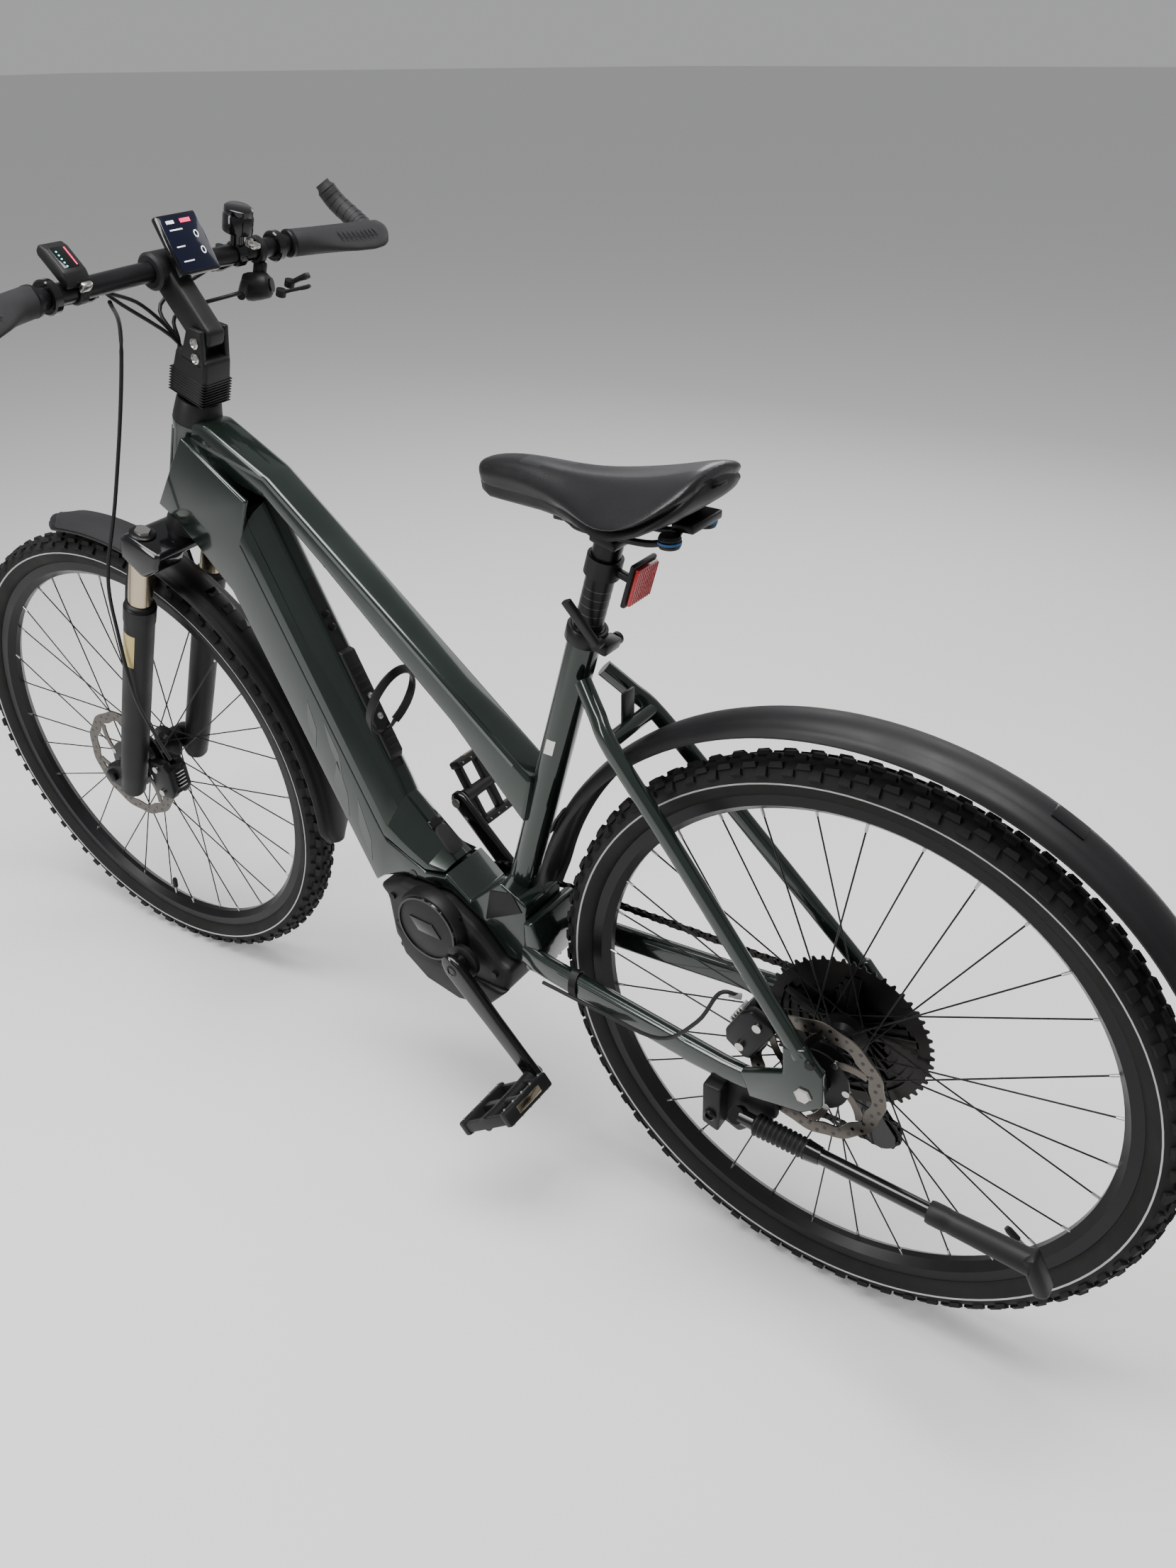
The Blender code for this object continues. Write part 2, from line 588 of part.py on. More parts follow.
def pedal(side, axis, eye):
    """Platform pedal: a cage of two plates with cross bars round the spindle body."""
    name = "left_pedal" if side > 0 else "right_pedal"
    turn = Matrix.Rotation(CRANK_ANGLE - PEDAL_TILT[side], 3, "Y")
    pivot = empty(name + "_axis", axis, (eye[0], side * 0.145, eye[2]), turn)
    base = place(name, rod((0, -side * 0.0520, 0), (0, side * 0.040, 0), 0.0105, sides=10), pivot, BLACK)
    for end in (1, -1):
        unite(base, box((0.012, 0.084, 0.022), (end * 0.044, 0, 0), 0.002))
    for across in (-0.036, 0.0, 0.036):
        unite(base, box((0.094, 0.012, 0.014), (0, across, 0), 0.002))


COGS = ((0.1005, -0.0226), (0.0840, -0.0262), (0.0720, -0.0300), (0.0600, -0.0345),
        (0.0500, -0.0395), (COG_R, -0.0460), (0.0300, -0.0535), (0.0235, -0.0585))
CASSETTE_END = -0.0645


def cassette():
    """Stepped sprocket stack on the freehub, largest next to the spokes."""
    axis = empty("cassette_axis", BIKE, (0, 0, TYRE_R))
    ends = [inner for _, inner in COGS[1:]] + [CASSETTE_END]
    profile = []
    for (radius, inner), outer in zip(COGS, ends):
        profile += [(radius, inner), (radius, outer)]
    profile += [(0.0190, CASSETTE_END), (0.0190, COGS[0][1])]
    place("cassette", lathe(profile, 24), axis, STEEL)


# ---- derailleur ---------------------------------------------------------------------------
def derailleur():
    link_axis = empty("derailleur_link_axis", BIKE, (-0.008, -0.084, 0.300))
    link = place("derailleur_link", loft([[(x + lean, y, z) for x, y in (
        (-0.012, -0.008), (0.012, -0.008), (0.012, 0.008), (-0.012, 0.008))]
        for z, lean in ((-0.0065, 0.0), (-0.0260, -0.002))]), link_axis, ANODISED)
    unite(link, rod((0.0, 0.0, -0.0240), (0.0, 0.0, -0.0440), 0.011, 0.013, 10))
    cage_axis = empty("derailleur_cage_axis", link_axis,
                      (PULLEY_UPPER[0] + 0.008, 0.0180, PULLEY_UPPER[1] - 0.300))
    fall = Vector((PULLEY_LOWER[0] - PULLEY_UPPER[0], PULLEY_LOWER[1] - PULLEY_UPPER[1]))
    side = Vector((-fall.y, fall.x)).normalized()
    narrow, wide = side * 0.009, side * 0.015
    shape = [(0.007 - narrow.x, 0.010 - narrow.y), (fall.x - wide.x, fall.y - wide.y),
             (fall.x * 1.22, fall.y * 1.22), (fall.x + wide.x, fall.y + wide.y),
             (narrow.x - 0.004, narrow.y + 0.010)]
    cage = place("derailleur_cage", slab(shape, 0.0085, 0.0103), cage_axis, ANODISED)
    unite(cage, slab(shape, 0.0215, 0.0233))
    for name, (x, z) in (("upper_pulley", (0.0, 0.0)), ("lower_pulley", tuple(fall))):
        unite(cage, rod((x, 0.0090, z), (x, 0.0225, z), 0.0045, sides=8))
        pivot = empty(name + "_axis", cage_axis, (x, 0, z))
        middle = CHAIN_Y + 0.084 - 0.0180
        place(name, hoop(0.0048, PULLEY_R, middle - 0.0015, middle + 0.0015, 14), pivot, BLACK)


# ---- kickstand ----------------------------------------------------------------------------
STAND_PIVOT = Vector((0.0740, 0.0850, 0.2800))
STAND_TIP = Vector((-0.2680, 0.100, 0.288))
STAND_DOWN = Vector((0.35, 0.52, -0.78))


def kickstand():
    """Leg with its spring, and the sleeve and foot that slide on it."""
    pivot = empty("kickstand_axis", BIKE, STAND_PIVOT)
    run = STAND_TIP - STAND_PIVOT
    fold = run.cross(STAND_DOWN).normalized()
    start, sleeve, foot = run * 0.128, run * 0.655, run * 0.965
    leg = place("kickstand_leg", rod(run * 0.01, run * 0.70, 0.0088, sides=12), pivot, ANODISED)
    unite(leg, rod(fold * -0.007, fold * 0.007, 0.0100, sides=14), rod(start, run * 0.26, 0.0130, 0.0125, 12))
    slide = empty("kickstand_slide_axis", pivot, sleeve)
    lower = place("kickstand_foot", rod((0, 0, 0), foot - sleeve, 0.0125, 0.0135, 12), slide, BLACK)
    turn = Matrix.Rotation(math.radians(-62), 3, "Y")
    unite(lower, box((0.050, 0.024, 0.017), foot - sleeve + Vector((-0.006, 0.0, -0.010)), 0.003, turn))
    cut(lower, rod(run * -0.01, run * 0.055, 0.0091, sides=12))


# ---- wheels -------------------------------------------------------------------------------
def tyre(name, axis):
    """Casing whose beads sit just outside the rim's edges."""
    half = TYRE_W / 2
    bead = RIM_R + GAP
    profile = [(bead, 0.0150), (0.330, half), (0.344, 0.0205), (0.354, 0.011), (TYRE_R, 0.0),
               (0.354, -0.011), (0.344, -0.0205), (0.330, -half), (bead, -0.0150),
               (bead, -0.0105), (0.3400, -0.0105), (0.3400, 0.0105), (bead, 0.0105)]
    place(name, lathe(profile, 40), axis, RUBBER)


def spoked_wheel(name, axis, flanges, ends):
    """Rim, hub shell and crossing spokes as one piece, since the wheel turns as one."""
    rim = [(RIM_R, 0.0140), (RIM_R, -0.0140), (RIM_R - 0.0125, -0.0135), (RIM_INNER_R, -0.005),
           (RIM_INNER_R, 0.005), (RIM_R - 0.0125, 0.0135)]
    wheel = place(name, lathe(rim, 40), axis, BLACK)
    left, right = ends
    near, far = flanges
    hub = [(0.0180, left), (0.0180, near + 0.0040), (0.0290, near + 0.0022), (0.0290, near - 0.0022),
           (0.0165, near - 0.0070), (0.0165, far + 0.0070), (0.0290, far + 0.0022),
           (0.0290, far - 0.0022), (0.0184, far - 0.0026), (0.0184, right), (0.0085, right), (0.0085, left)]
    spokes = bmesh.new()
    for i in range(SPOKES):
        flange = flanges[i % 2]
        lead = 1 if (i // 2) % 2 else -1
        angle = math.tau * i / SPOKES
        foot_angle = angle + lead * SPOKE_LEAN
        foot = Vector((0.0265 * math.cos(foot_angle), flange + lead * 0.0004, 0.0265 * math.sin(foot_angle)))
        top = Vector((SPOKE_TOP_R * math.cos(angle), 0.0, SPOKE_TOP_R * math.sin(angle)))
        turn = (top - foot).to_track_quat("Z", "Y").to_matrix().to_4x4()
        bmesh.ops.create_cone(spokes, cap_ends=True, segments=3, radius1=0.0013, radius2=0.0013,
                              depth=(top - foot).length, matrix=Matrix.Translation((foot + top) / 2) @ turn)
    unite(wheel, lathe(hub, 16), mesh_from(spokes, "spokes"))


def disc(name, axis, radius, across):
    """Brake disc with six windows between its arms."""
    plate = place(name, hoop(0.0184, radius, across - 0.0010, across + 0.0010, 32), axis, STEEL)
    for i in range(6):
        angle = math.tau * i / 6
        window = box((0.42 * radius, 0.01, 0.42 * radius))
        window.transform(Matrix.Rotation(angle, 4, "Y") @ Matrix.Translation((0.58 * radius, across, 0)))
        cut(plate, window)


def rear_wheel():
    axis = empty("rear_spin_axis", BIKE, (0, 0, TYRE_R))
    tyre("rear_tyre", axis)
    spoked_wheel("rear_wheel", axis, (0.0330, -0.0195), (0.0730, -0.0730))
    disc("rear_disc", axis, REAR_DISC_R, REAR_DISC_Y)


def front_wheel(slide):
    axis = empty("front_spin_axis", slide, (FORK_OFFSET - LEG_U, 0, -SLIDE_W))
    tyre("front_tyre", axis)
    spoked_wheel("front_wheel", axis, (0.0250, -0.0330), (0.0540, -0.0540))
    disc("front_disc", axis, FRONT_DISC_R, FRONT_DISC_Y)


# ---- fork ---------------------------------------------------------------------------------
LEG_Y, LEG_U = 0.0640, 0.0180
SLIDE_W = 0.300
CROWN_LOW, CROWN_HIGH = 0.4060, 0.4560
LEG_TOP = 0.3440 - SLIDE_W
LEG_FOOT = -0.0180 - SLIDE_W


def fork_crown(steer_axis):
    """Crown with its steerer tube and the two stanchions."""
    crown = [(-0.030, CROWN_HIGH), (0.030, CROWN_HIGH), (0.040, 0.4460), (0.036, CROWN_LOW + 0.012),
             (-0.004, CROWN_LOW), (-0.026, 0.4300)]
    top = place("fork_crown", slab(crown, -0.084, 0.084, 0.009), steer_axis, BLACK)
    cut(top, box((0.12, 0.080, 0.060), (0.0, 0.0, 0.4160)))
    unite(top, rod((0, 0, 0.450), (0, 0, 0.4795), 0.0300, 0.0275, 16),
          rod((0, 0, 0.460), (0, 0, 0.699), 0.0143, sides=14))
    for side in (1, -1):
        unite(top, rod((LEG_U, side * LEG_Y, 0.250), (LEG_U, side * LEG_Y, 0.4500), 0.0160, sides=14))


def fork_lowers(slide):
    """Two sliding legs joined by the arch ahead of the crown and by the axle."""
    foot = [(-0.006, LEG_FOOT), (0.030, LEG_FOOT), (0.045, LEG_FOOT + 0.012), (0.045, LEG_FOOT + 0.028),
            (0.016, LEG_FOOT + 0.048), (-0.006, LEG_FOOT + 0.048)]
    lowers = place("fork_lowers", rod((0, LEG_Y, LEG_FOOT), (0, LEG_Y, LEG_TOP), 0.0195, 0.0215, 14),
                   slide, BLACK)
    arch = ((-0.062, -0.004), (-0.052, 0.062), (-0.030, 0.104), (0.030, 0.104), (0.052, 0.062),
            (0.062, -0.004))
    section = ((0.016, -0.010), (0.030, -0.010), (0.030, 0.006), (0.016, 0.006))
    unite(lowers, rod((0, -LEG_Y, LEG_FOOT), (0, -LEG_Y, LEG_TOP), 0.0195, 0.0215, 14),
          loft([[(x + lift * 0.16, y, z + lift) for x, z in section] for y, lift in arch]))
    for side in (1, -1):
        cut(lowers, rod((0, side * LEG_Y, -0.114), (0, side * LEG_Y, 0.060), 0.0164, sides=14))
        unite(lowers, slab(foot, *sorted((side * 0.0560, side * 0.0760)), 0.002))
    unite(lowers, rod((FORK_OFFSET - LEG_U, -0.0760, -SLIDE_W), (FORK_OFFSET - LEG_U, 0.0830, -SLIDE_W),
                      0.0072, sides=10))


def front_guard(slide):
    axis = empty("front_mudguard_axis", slide, (FORK_OFFSET - LEG_U, 0, -SLIDE_W))
    mudguard("front_mudguard", axis, 0.3845, 0.0300, 58, 165, 0.013, 12)


# ---- cockpit ------------------------------------------------------------------------------
STEM_PIVOT = Vector((-0.006, 0, 0.722))
BAR_R = 0.0111
BORE_R = 0.0118
BAR_MIDDLE = Vector((0.063, 0, 0.768))
GRIP_START, GRIP_END = Vector((0.0520, 0.188, 0.7720)), Vector((0.0225, 0.3345, 0.7755))
CLAMP_HALF = 0.045


def bar_point(across):
    """The handlebar's centre line at a distance across, from the stem's pivot."""
    reach = abs(across)
    if reach < GRIP_START.y:
        part = max(0.0, (reach - CLAMP_HALF) / (GRIP_START.y - CLAMP_HALF))
        point = BAR_MIDDLE.lerp(GRIP_START, part)
    else:
        point = GRIP_START.lerp(GRIP_END, (reach - GRIP_START.y) / (GRIP_END.y - GRIP_START.y))
    return Vector((point.x, across, point.z)) - STEM_PIVOT


def steer_point(forward, across, height):
    """A point given in the steering axes, from the stem's pivot."""
    return Vector((forward, across, height)) - STEM_PIVOT


def bar_clamp(across, width, outer):
    """A ring round the bar, and the bore that clears it."""
    low, high = bar_point(across - width / 2), bar_point(across + width / 2)
    past = (high - low).normalized() * 0.010
    return rod(low, high, outer, sides=14), rod(low - past, high + past, BORE_R, sides=12)


def stem(steer_axis):
    post = place("stem_post", slab([(-0.027, 0.6410), (0.027, 0.6410), (0.0245, 0.6750), (0.0215, 0.7000),
                                    (-0.0255, 0.7000), (-0.0275, 0.6750)], -0.0222, 0.0222, 0.006),
                 steer_axis, ANODISED)
    for side in (1, -1):
        unite(post, slab([(-0.0240, 0.690), (0.0120, 0.690), (0.0060, 0.7300), (-0.0160, 0.7340)],
                         *sorted((side * 0.0150, side * 0.0220)), 0.001))
    cut(post, rod((0, 0, 0.60), (0, 0, 0.80), 0.0147, sides=14))
    tilt = empty("stem_tilt_axis", steer_axis, STEM_PIVOT)
    arm = place("stem_arm", slab([(-0.0150, 0.0100), (-0.0060, 0.0150), (0.0560, 0.0575), (0.0760, 0.0560),
                                  (0.0860, 0.0400), (0.0720, 0.0280), (0.0200, -0.0060), (0.0000, -0.0130),
                                  (-0.0150, -0.0080)], -0.0140, 0.0140, 0.003), tilt, ANODISED)
    outer, bore = bar_clamp(0.0, 0.048, 0.0205)
    unite(arm, outer)
    cut(arm, bore)
    return tilt


def handlebar(tilt):
    stops = (-0.324, -GRIP_START.y, -CLAMP_HALF, CLAMP_HALF, GRIP_START.y, 0.324)
    place("handlebar", sweep([bar_point(stop) for stop in stops], BAR_R, 12), tilt, ANODISED)


def grip(name, side, tilt):
    """Sleeve with a palm wing behind it and a horn ahead of its outer end."""
    tube = rod(bar_point(side * 0.1900), bar_point(side * 0.3345), 0.0160, 0.0172, 14)
    sleeve = place(name, tube, tilt, GRIP)
    wing = []
    for across, deep in ((0.228, 0.0175), (0.275, 0.0340), (0.3180, 0.0310)):
        middle = bar_point(side * across)
        wing.append([middle + Vector(offset) for offset in (
            (-0.004, 0, -0.011), (-0.004, 0, 0.012), (-deep, 0, 0.006), (-deep, 0, -0.004))])
    horn = [bar_point(side * 0.3210) + Vector(offset) for offset in (
        (0, 0, 0), (0.035, side * 0.006, 0.004), (0.065, side * 0.002, 0.014), (0.086, -side * 0.006, 0.031))]
    unite(sleeve, loft(wing), sweep(horn, 0.0125, 10))
    cut(sleeve, rod(bar_point(side * 0.1885), bar_point(side * 0.3260), BORE_R, sides=12))


def brake(name, side, tilt):
    """Clamp with its master cylinder, and the lever pivoted at the cylinder's inner end."""
    outer, bore = bar_clamp(side * 0.168, 0.011, 0.0185)
    body = place(name + "_brake_body", outer, tilt, BLACK)
    cylinder = rod(steer_point(0.077, side * 0.086, 0.750), steer_point(0.0848, side * 0.141, 0.751), 0.0105)
    unite(body, cylinder,
          box((0.022, 0.024, 0.018), steer_point(0.0775, side * 0.160, 0.757), 0.003),
          box((0.014, 0.016, 0.014), steer_point(0.0830, side * 0.146, 0.755), 0.002))
    cut(body, bore)
    pivot = steer_point(0.1030, side * 0.128, 0.748)
    axis = empty(name + "_brake_lever_axis", tilt, pivot)
    blade = sweep([(0, 0, 0), (0.006, side * 0.030, -0.002), (0.000, side * 0.070, -0.006),
                   (-0.004, side * 0.120, -0.010), (-0.010, side * 0.172, -0.015)], 0.0058, 8)
    place(name + "_brake_lever", blade, axis, ANODISED)


def display(tilt):
    """Screen on a short foot ahead of the handlebar."""
    hinge = steer_point(0.0589, -0.017, 0.7958)
    axis = empty("display_axis", tilt, hinge)
    middle = steer_point(0.0490, -0.017, 0.8000) - hinge
    turn = Matrix.Rotation(math.radians(-45), 3, "Y")
    unit = place("display_unit", box((0.066, 0.060, 0.011), middle, 0.003, turn), axis, GLASS)
    unite(unit, rod((0, -0.012, 0), (0, 0.012, 0), 0.0055, sides=10))


def bell(tilt):
    outer, bore = bar_clamp(-0.108, 0.012, 0.0150)
    body = place("bell", outer, tilt, BLACK)
    unite(body, rod(steer_point(0.059, -0.108, 0.778), steer_point(0.060, -0.108, 0.800), 0.0080),
          rod(steer_point(0.060, -0.108, 0.796), steer_point(0.061, -0.108, 0.825), 0.0180, 0.0165, 16))
    cut(body, bore)
    axis = empty("bell_striker_axis", tilt, steer_point(0.0370, -0.104, 0.7930))
    striker = place("bell_striker", rod((0, 0, -0.004), (0, 0, 0.004), 0.0045, sides=10), axis, STEEL)
    unite(striker, box((0.010, 0.013, 0.006), (-0.008, 0.0, 0.0), 0.002))


def shifter(tilt):
    body = place("shifter_body", rod(steer_point(0.054, -0.122, 0.727), steer_point(0.026, -0.138, 0.740),
                                     0.0170, 0.0145, 14), tilt, BLACK)
    outer, bore = bar_clamp(-0.138, 0.010, 0.0165)
    unite(body, outer, rod(steer_point(0.050, -0.118, 0.734), steer_point(0.026, -0.086, 0.736), 0.0060),
          box((0.016, 0.010, 0.022), steer_point(0.047, -0.1380, 0.7500), 0.002))
    cut(body, bore)
    for name, hinge, reach, size in (
            ("shifter_lever", (0.0060, -0.146, 0.7500), (-0.0200, -0.008, 0.0180), 0.0055),
            ("shifter_release", (0.0040, -0.1300, 0.7420), (-0.0280, -0.018, 0.0180), 0.0040)):
        axis = empty(name + "_axis", tilt, steer_point(*hinge))
        lever = place(name, rod((0, 0, -0.004), (0, 0, 0.004), 0.0065, sides=10), axis, BLACK)
        unite(lever, sweep([(0, 0, 0), Vector(reach) * 0.5 + Vector((0, 0, -0.002)), reach], size, 8))


def remote(tilt):
    """Control unit beside the left grip, with its select button."""
    outer, bore = bar_clamp(0.130, 0.012, 0.0150)
    body = place("remote_body", outer, tilt, BLACK)
    turn = Matrix.Rotation(math.radians(-25), 3, "Y")
    unite(body, box((0.050, 0.030, 0.015), steer_point(0.064, 0.138, 0.7960), 0.004, turn))
    cut(body, bore)
    axis = empty("remote_button_axis", tilt, steer_point(0.0375, 0.134, 0.7836))
    place("remote_button", box((0.006, 0.014, 0.012), (0, 0, 0), 0.002, turn), axis, BLACK)


def cords(steer_axis, tilt):
    """The loops ahead of the head tube, and the hoses to both brakes."""
    gather = steer_point(0.036, 0.0, 0.690)
    loops = (
        (steer_point(0.070, 0.078, 0.752), steer_point(0.075, 0.020, 0.722)),
        (steer_point(0.070, -0.078, 0.752), steer_point(0.078, -0.010, 0.716)),
        (steer_point(0.024, -0.082, 0.742), steer_point(0.060, -0.020, 0.712)),
        (steer_point(0.0900, 0.116, 0.790), steer_point(0.092, 0.050, 0.730)),
    )
    foot = steer_point(0.034, 0.0, 0.643)
    bundle = None
    for start, middle in loops:
        route = smooth_route([start, middle, gather, foot], 3)
        if bundle is None:
            bundle = place("cockpit_cables", sweep(route, 0.0024), tilt, BLACK)
        else:
            unite(bundle, sweep(route, 0.0024))
    front = [(0.066, 0.076, 0.742), (0.088, 0.040, 0.690), (0.080, 0.045, 0.600), (0.060, 0.070, 0.480),
             (0.050, 0.0890, 0.380), (0.030, 0.0900, 0.300), (-0.004, 0.0870, 0.200), (-0.030, 0.0600, 0.110),
             (-0.040, 0.0520, 0.084)]
    place("front_brake_hose", sweep(smooth_route(front, 3), 0.0025), steer_axis, BLACK)
    rear = [(0.350, 0.0735, 0.331), (0.260, 0.0800, 0.334), (0.175, 0.0920, 0.348), (0.128, 0.0920, 0.398),
            (0.106, 0.0860, 0.446), (0.0850, 0.0760, 0.444)]
    place("rear_brake_hose", sweep(smooth_route(rear, 3), 0.0025), BIKE, BLACK)


# ---- assembly -----------------------------------------------------------------------------
main_frame()
rear_triangle()
motor()
seat_collar()
seat_quick_release()
rear_mudguard()
caliper("rear_caliper", BIKE, (0, TYRE_R), (0.0740, 0.0380), REAR_DISC_Y)
kickstand_bracket()
chain()
carrier, in_carrier = battery()
bottle_cage(carrier, in_carrier)
charge_flap(carrier)
seat()
crank_set()
rear_wheel()
cassette()
derailleur()
kickstand()
steering = empty("steering_axis", BIKE, HEAD_FOOT,
                 Matrix.Rotation(HEAD_ANGLE - math.pi / 2, 3, "Y") @ Matrix.Rotation(STEER, 3, "Z"))
sliding = empty("fork_slide_axis", steering, (LEG_U, 0, SLIDE_W))
fork_crown(steering)
fork_lowers(sliding)
front_wheel(sliding)
front_guard(sliding)
caliper("front_caliper", sliding, (FORK_OFFSET - LEG_U, -SLIDE_W), (-0.0790, 0.0360), FRONT_DISC_Y)
tilting = stem(steering)
handlebar(tilting)
for grip_name, hand in (("left", 1), ("right", -1)):
    grip(grip_name + "_grip", hand, tilting)
    brake(grip_name, hand, tilting)
display(tilting)
bell(tilting)
shifter(tilting)
remote(tilting)
cords(steering, tilting)
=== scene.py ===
"""Looks of the electric bicycle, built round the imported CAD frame. Lengths are in metres."""

import json
import math

import bmesh
import bpy
from mathutils import Matrix, Quaternion, Vector

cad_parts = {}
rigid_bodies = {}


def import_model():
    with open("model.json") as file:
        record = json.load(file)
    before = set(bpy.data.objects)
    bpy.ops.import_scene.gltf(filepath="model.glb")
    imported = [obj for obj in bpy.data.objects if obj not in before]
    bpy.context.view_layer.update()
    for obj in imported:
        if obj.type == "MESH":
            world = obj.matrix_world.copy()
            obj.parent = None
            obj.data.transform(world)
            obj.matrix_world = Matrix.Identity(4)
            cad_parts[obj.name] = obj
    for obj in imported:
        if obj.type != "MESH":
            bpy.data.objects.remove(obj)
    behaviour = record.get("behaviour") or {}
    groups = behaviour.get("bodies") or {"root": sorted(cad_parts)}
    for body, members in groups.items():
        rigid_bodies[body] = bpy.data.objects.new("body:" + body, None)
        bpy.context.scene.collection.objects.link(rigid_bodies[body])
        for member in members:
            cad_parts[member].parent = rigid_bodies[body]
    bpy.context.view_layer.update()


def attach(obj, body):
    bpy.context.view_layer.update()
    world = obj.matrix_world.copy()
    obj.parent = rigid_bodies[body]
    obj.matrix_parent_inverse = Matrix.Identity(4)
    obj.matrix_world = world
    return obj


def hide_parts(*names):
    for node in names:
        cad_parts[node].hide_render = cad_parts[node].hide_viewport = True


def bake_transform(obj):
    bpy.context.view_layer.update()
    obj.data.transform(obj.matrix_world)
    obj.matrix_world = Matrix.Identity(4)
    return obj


for leftover in list(bpy.data.objects):
    bpy.data.objects.remove(leftover)
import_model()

# ---- driving dimensions -------------------------------------------------------------------
WHEELBASE = 1.160
TYRE_R = 0.358
TYRE_HALF = 0.0235
RIM_R = 0.317
RIM_INNER_R = 0.2965
SPOKES = 32
SPOKE_TOP_R = 0.2990
SPOKE_LEAN = math.radians(62)
HEAD_ANGLE = math.radians(69.5)
SEAT_ANGLE = math.radians(74.7)
STEER = math.radians(3.66)
FORK_OFFSET = 0.048
BIKE_MIDDLE = 0.5795
BB = Vector((0.482, 0.0, 0.298))
CRANK = 0.170
CRANK_ANGLE = math.radians(45.0)
CHAINRING_R = 0.0765
COG_R = 0.0400
CHAIN_Y = -0.0495
PULLEY_R = 0.0215
PULLEY_UPPER = (-0.012, 0.262)
PULLEY_LOWER = (-0.050, 0.206)
LEG_Y, LEG_U = 0.0640, 0.0180
BAR_R = 0.0111

HEAD_UP = Vector((-math.cos(HEAD_ANGLE), 0.0, math.sin(HEAD_ANGLE)))
HEAD_FORWARD = Vector((math.sin(HEAD_ANGLE), 0.0, math.cos(HEAD_ANGLE)))
HEAD_FOOT = Vector((WHEELBASE, 0.0, TYRE_R)) - HEAD_FORWARD * FORK_OFFSET
SEAT_UP = Vector((-math.cos(SEAT_ANGLE), 0.0, math.sin(SEAT_ANGLE)))
SEAT_FOOT = Vector((0.4215, 0.0, 0.440))
DOWN_LOW = Vector((0.655, 0.0, 0.337))
DOWN_UP = (Vector((0.848, 0.0, 0.712)) - DOWN_LOW).normalized()
DOWN_OUT = Vector((-DOWN_UP.z, 0.0, DOWN_UP.x))

BIKE = Matrix.Translation((-BIKE_MIDDLE, 0, 0))
STEERED = (BIKE @ Matrix.Translation(HEAD_FOOT) @ Matrix.Rotation(HEAD_ANGLE - math.pi / 2, 4, "Y")
           @ Matrix.Rotation(STEER, 4, "Z"))
REAR_AXLE = BIKE @ Matrix.Translation((0, 0, TYRE_R))
FRONT_AXLE = STEERED @ Matrix.Translation((FORK_OFFSET, 0, 0))
CRANK_FRAME = BIKE @ Matrix.Translation(BB) @ Matrix.Rotation(-CRANK_ANGLE, 4, "Y")
SEAT_FRAME = (BIKE @ Matrix.Translation(SEAT_FOOT + SEAT_UP * 0.345)
              @ Matrix.Rotation(SEAT_ANGLE - math.pi / 2, 4, "Y"))
SADDLE_FRAME = BIKE @ Matrix.Translation((0.291, 0.0, 0.905))
UPRIGHT = Matrix.Rotation(math.pi / 2, 4, "X")


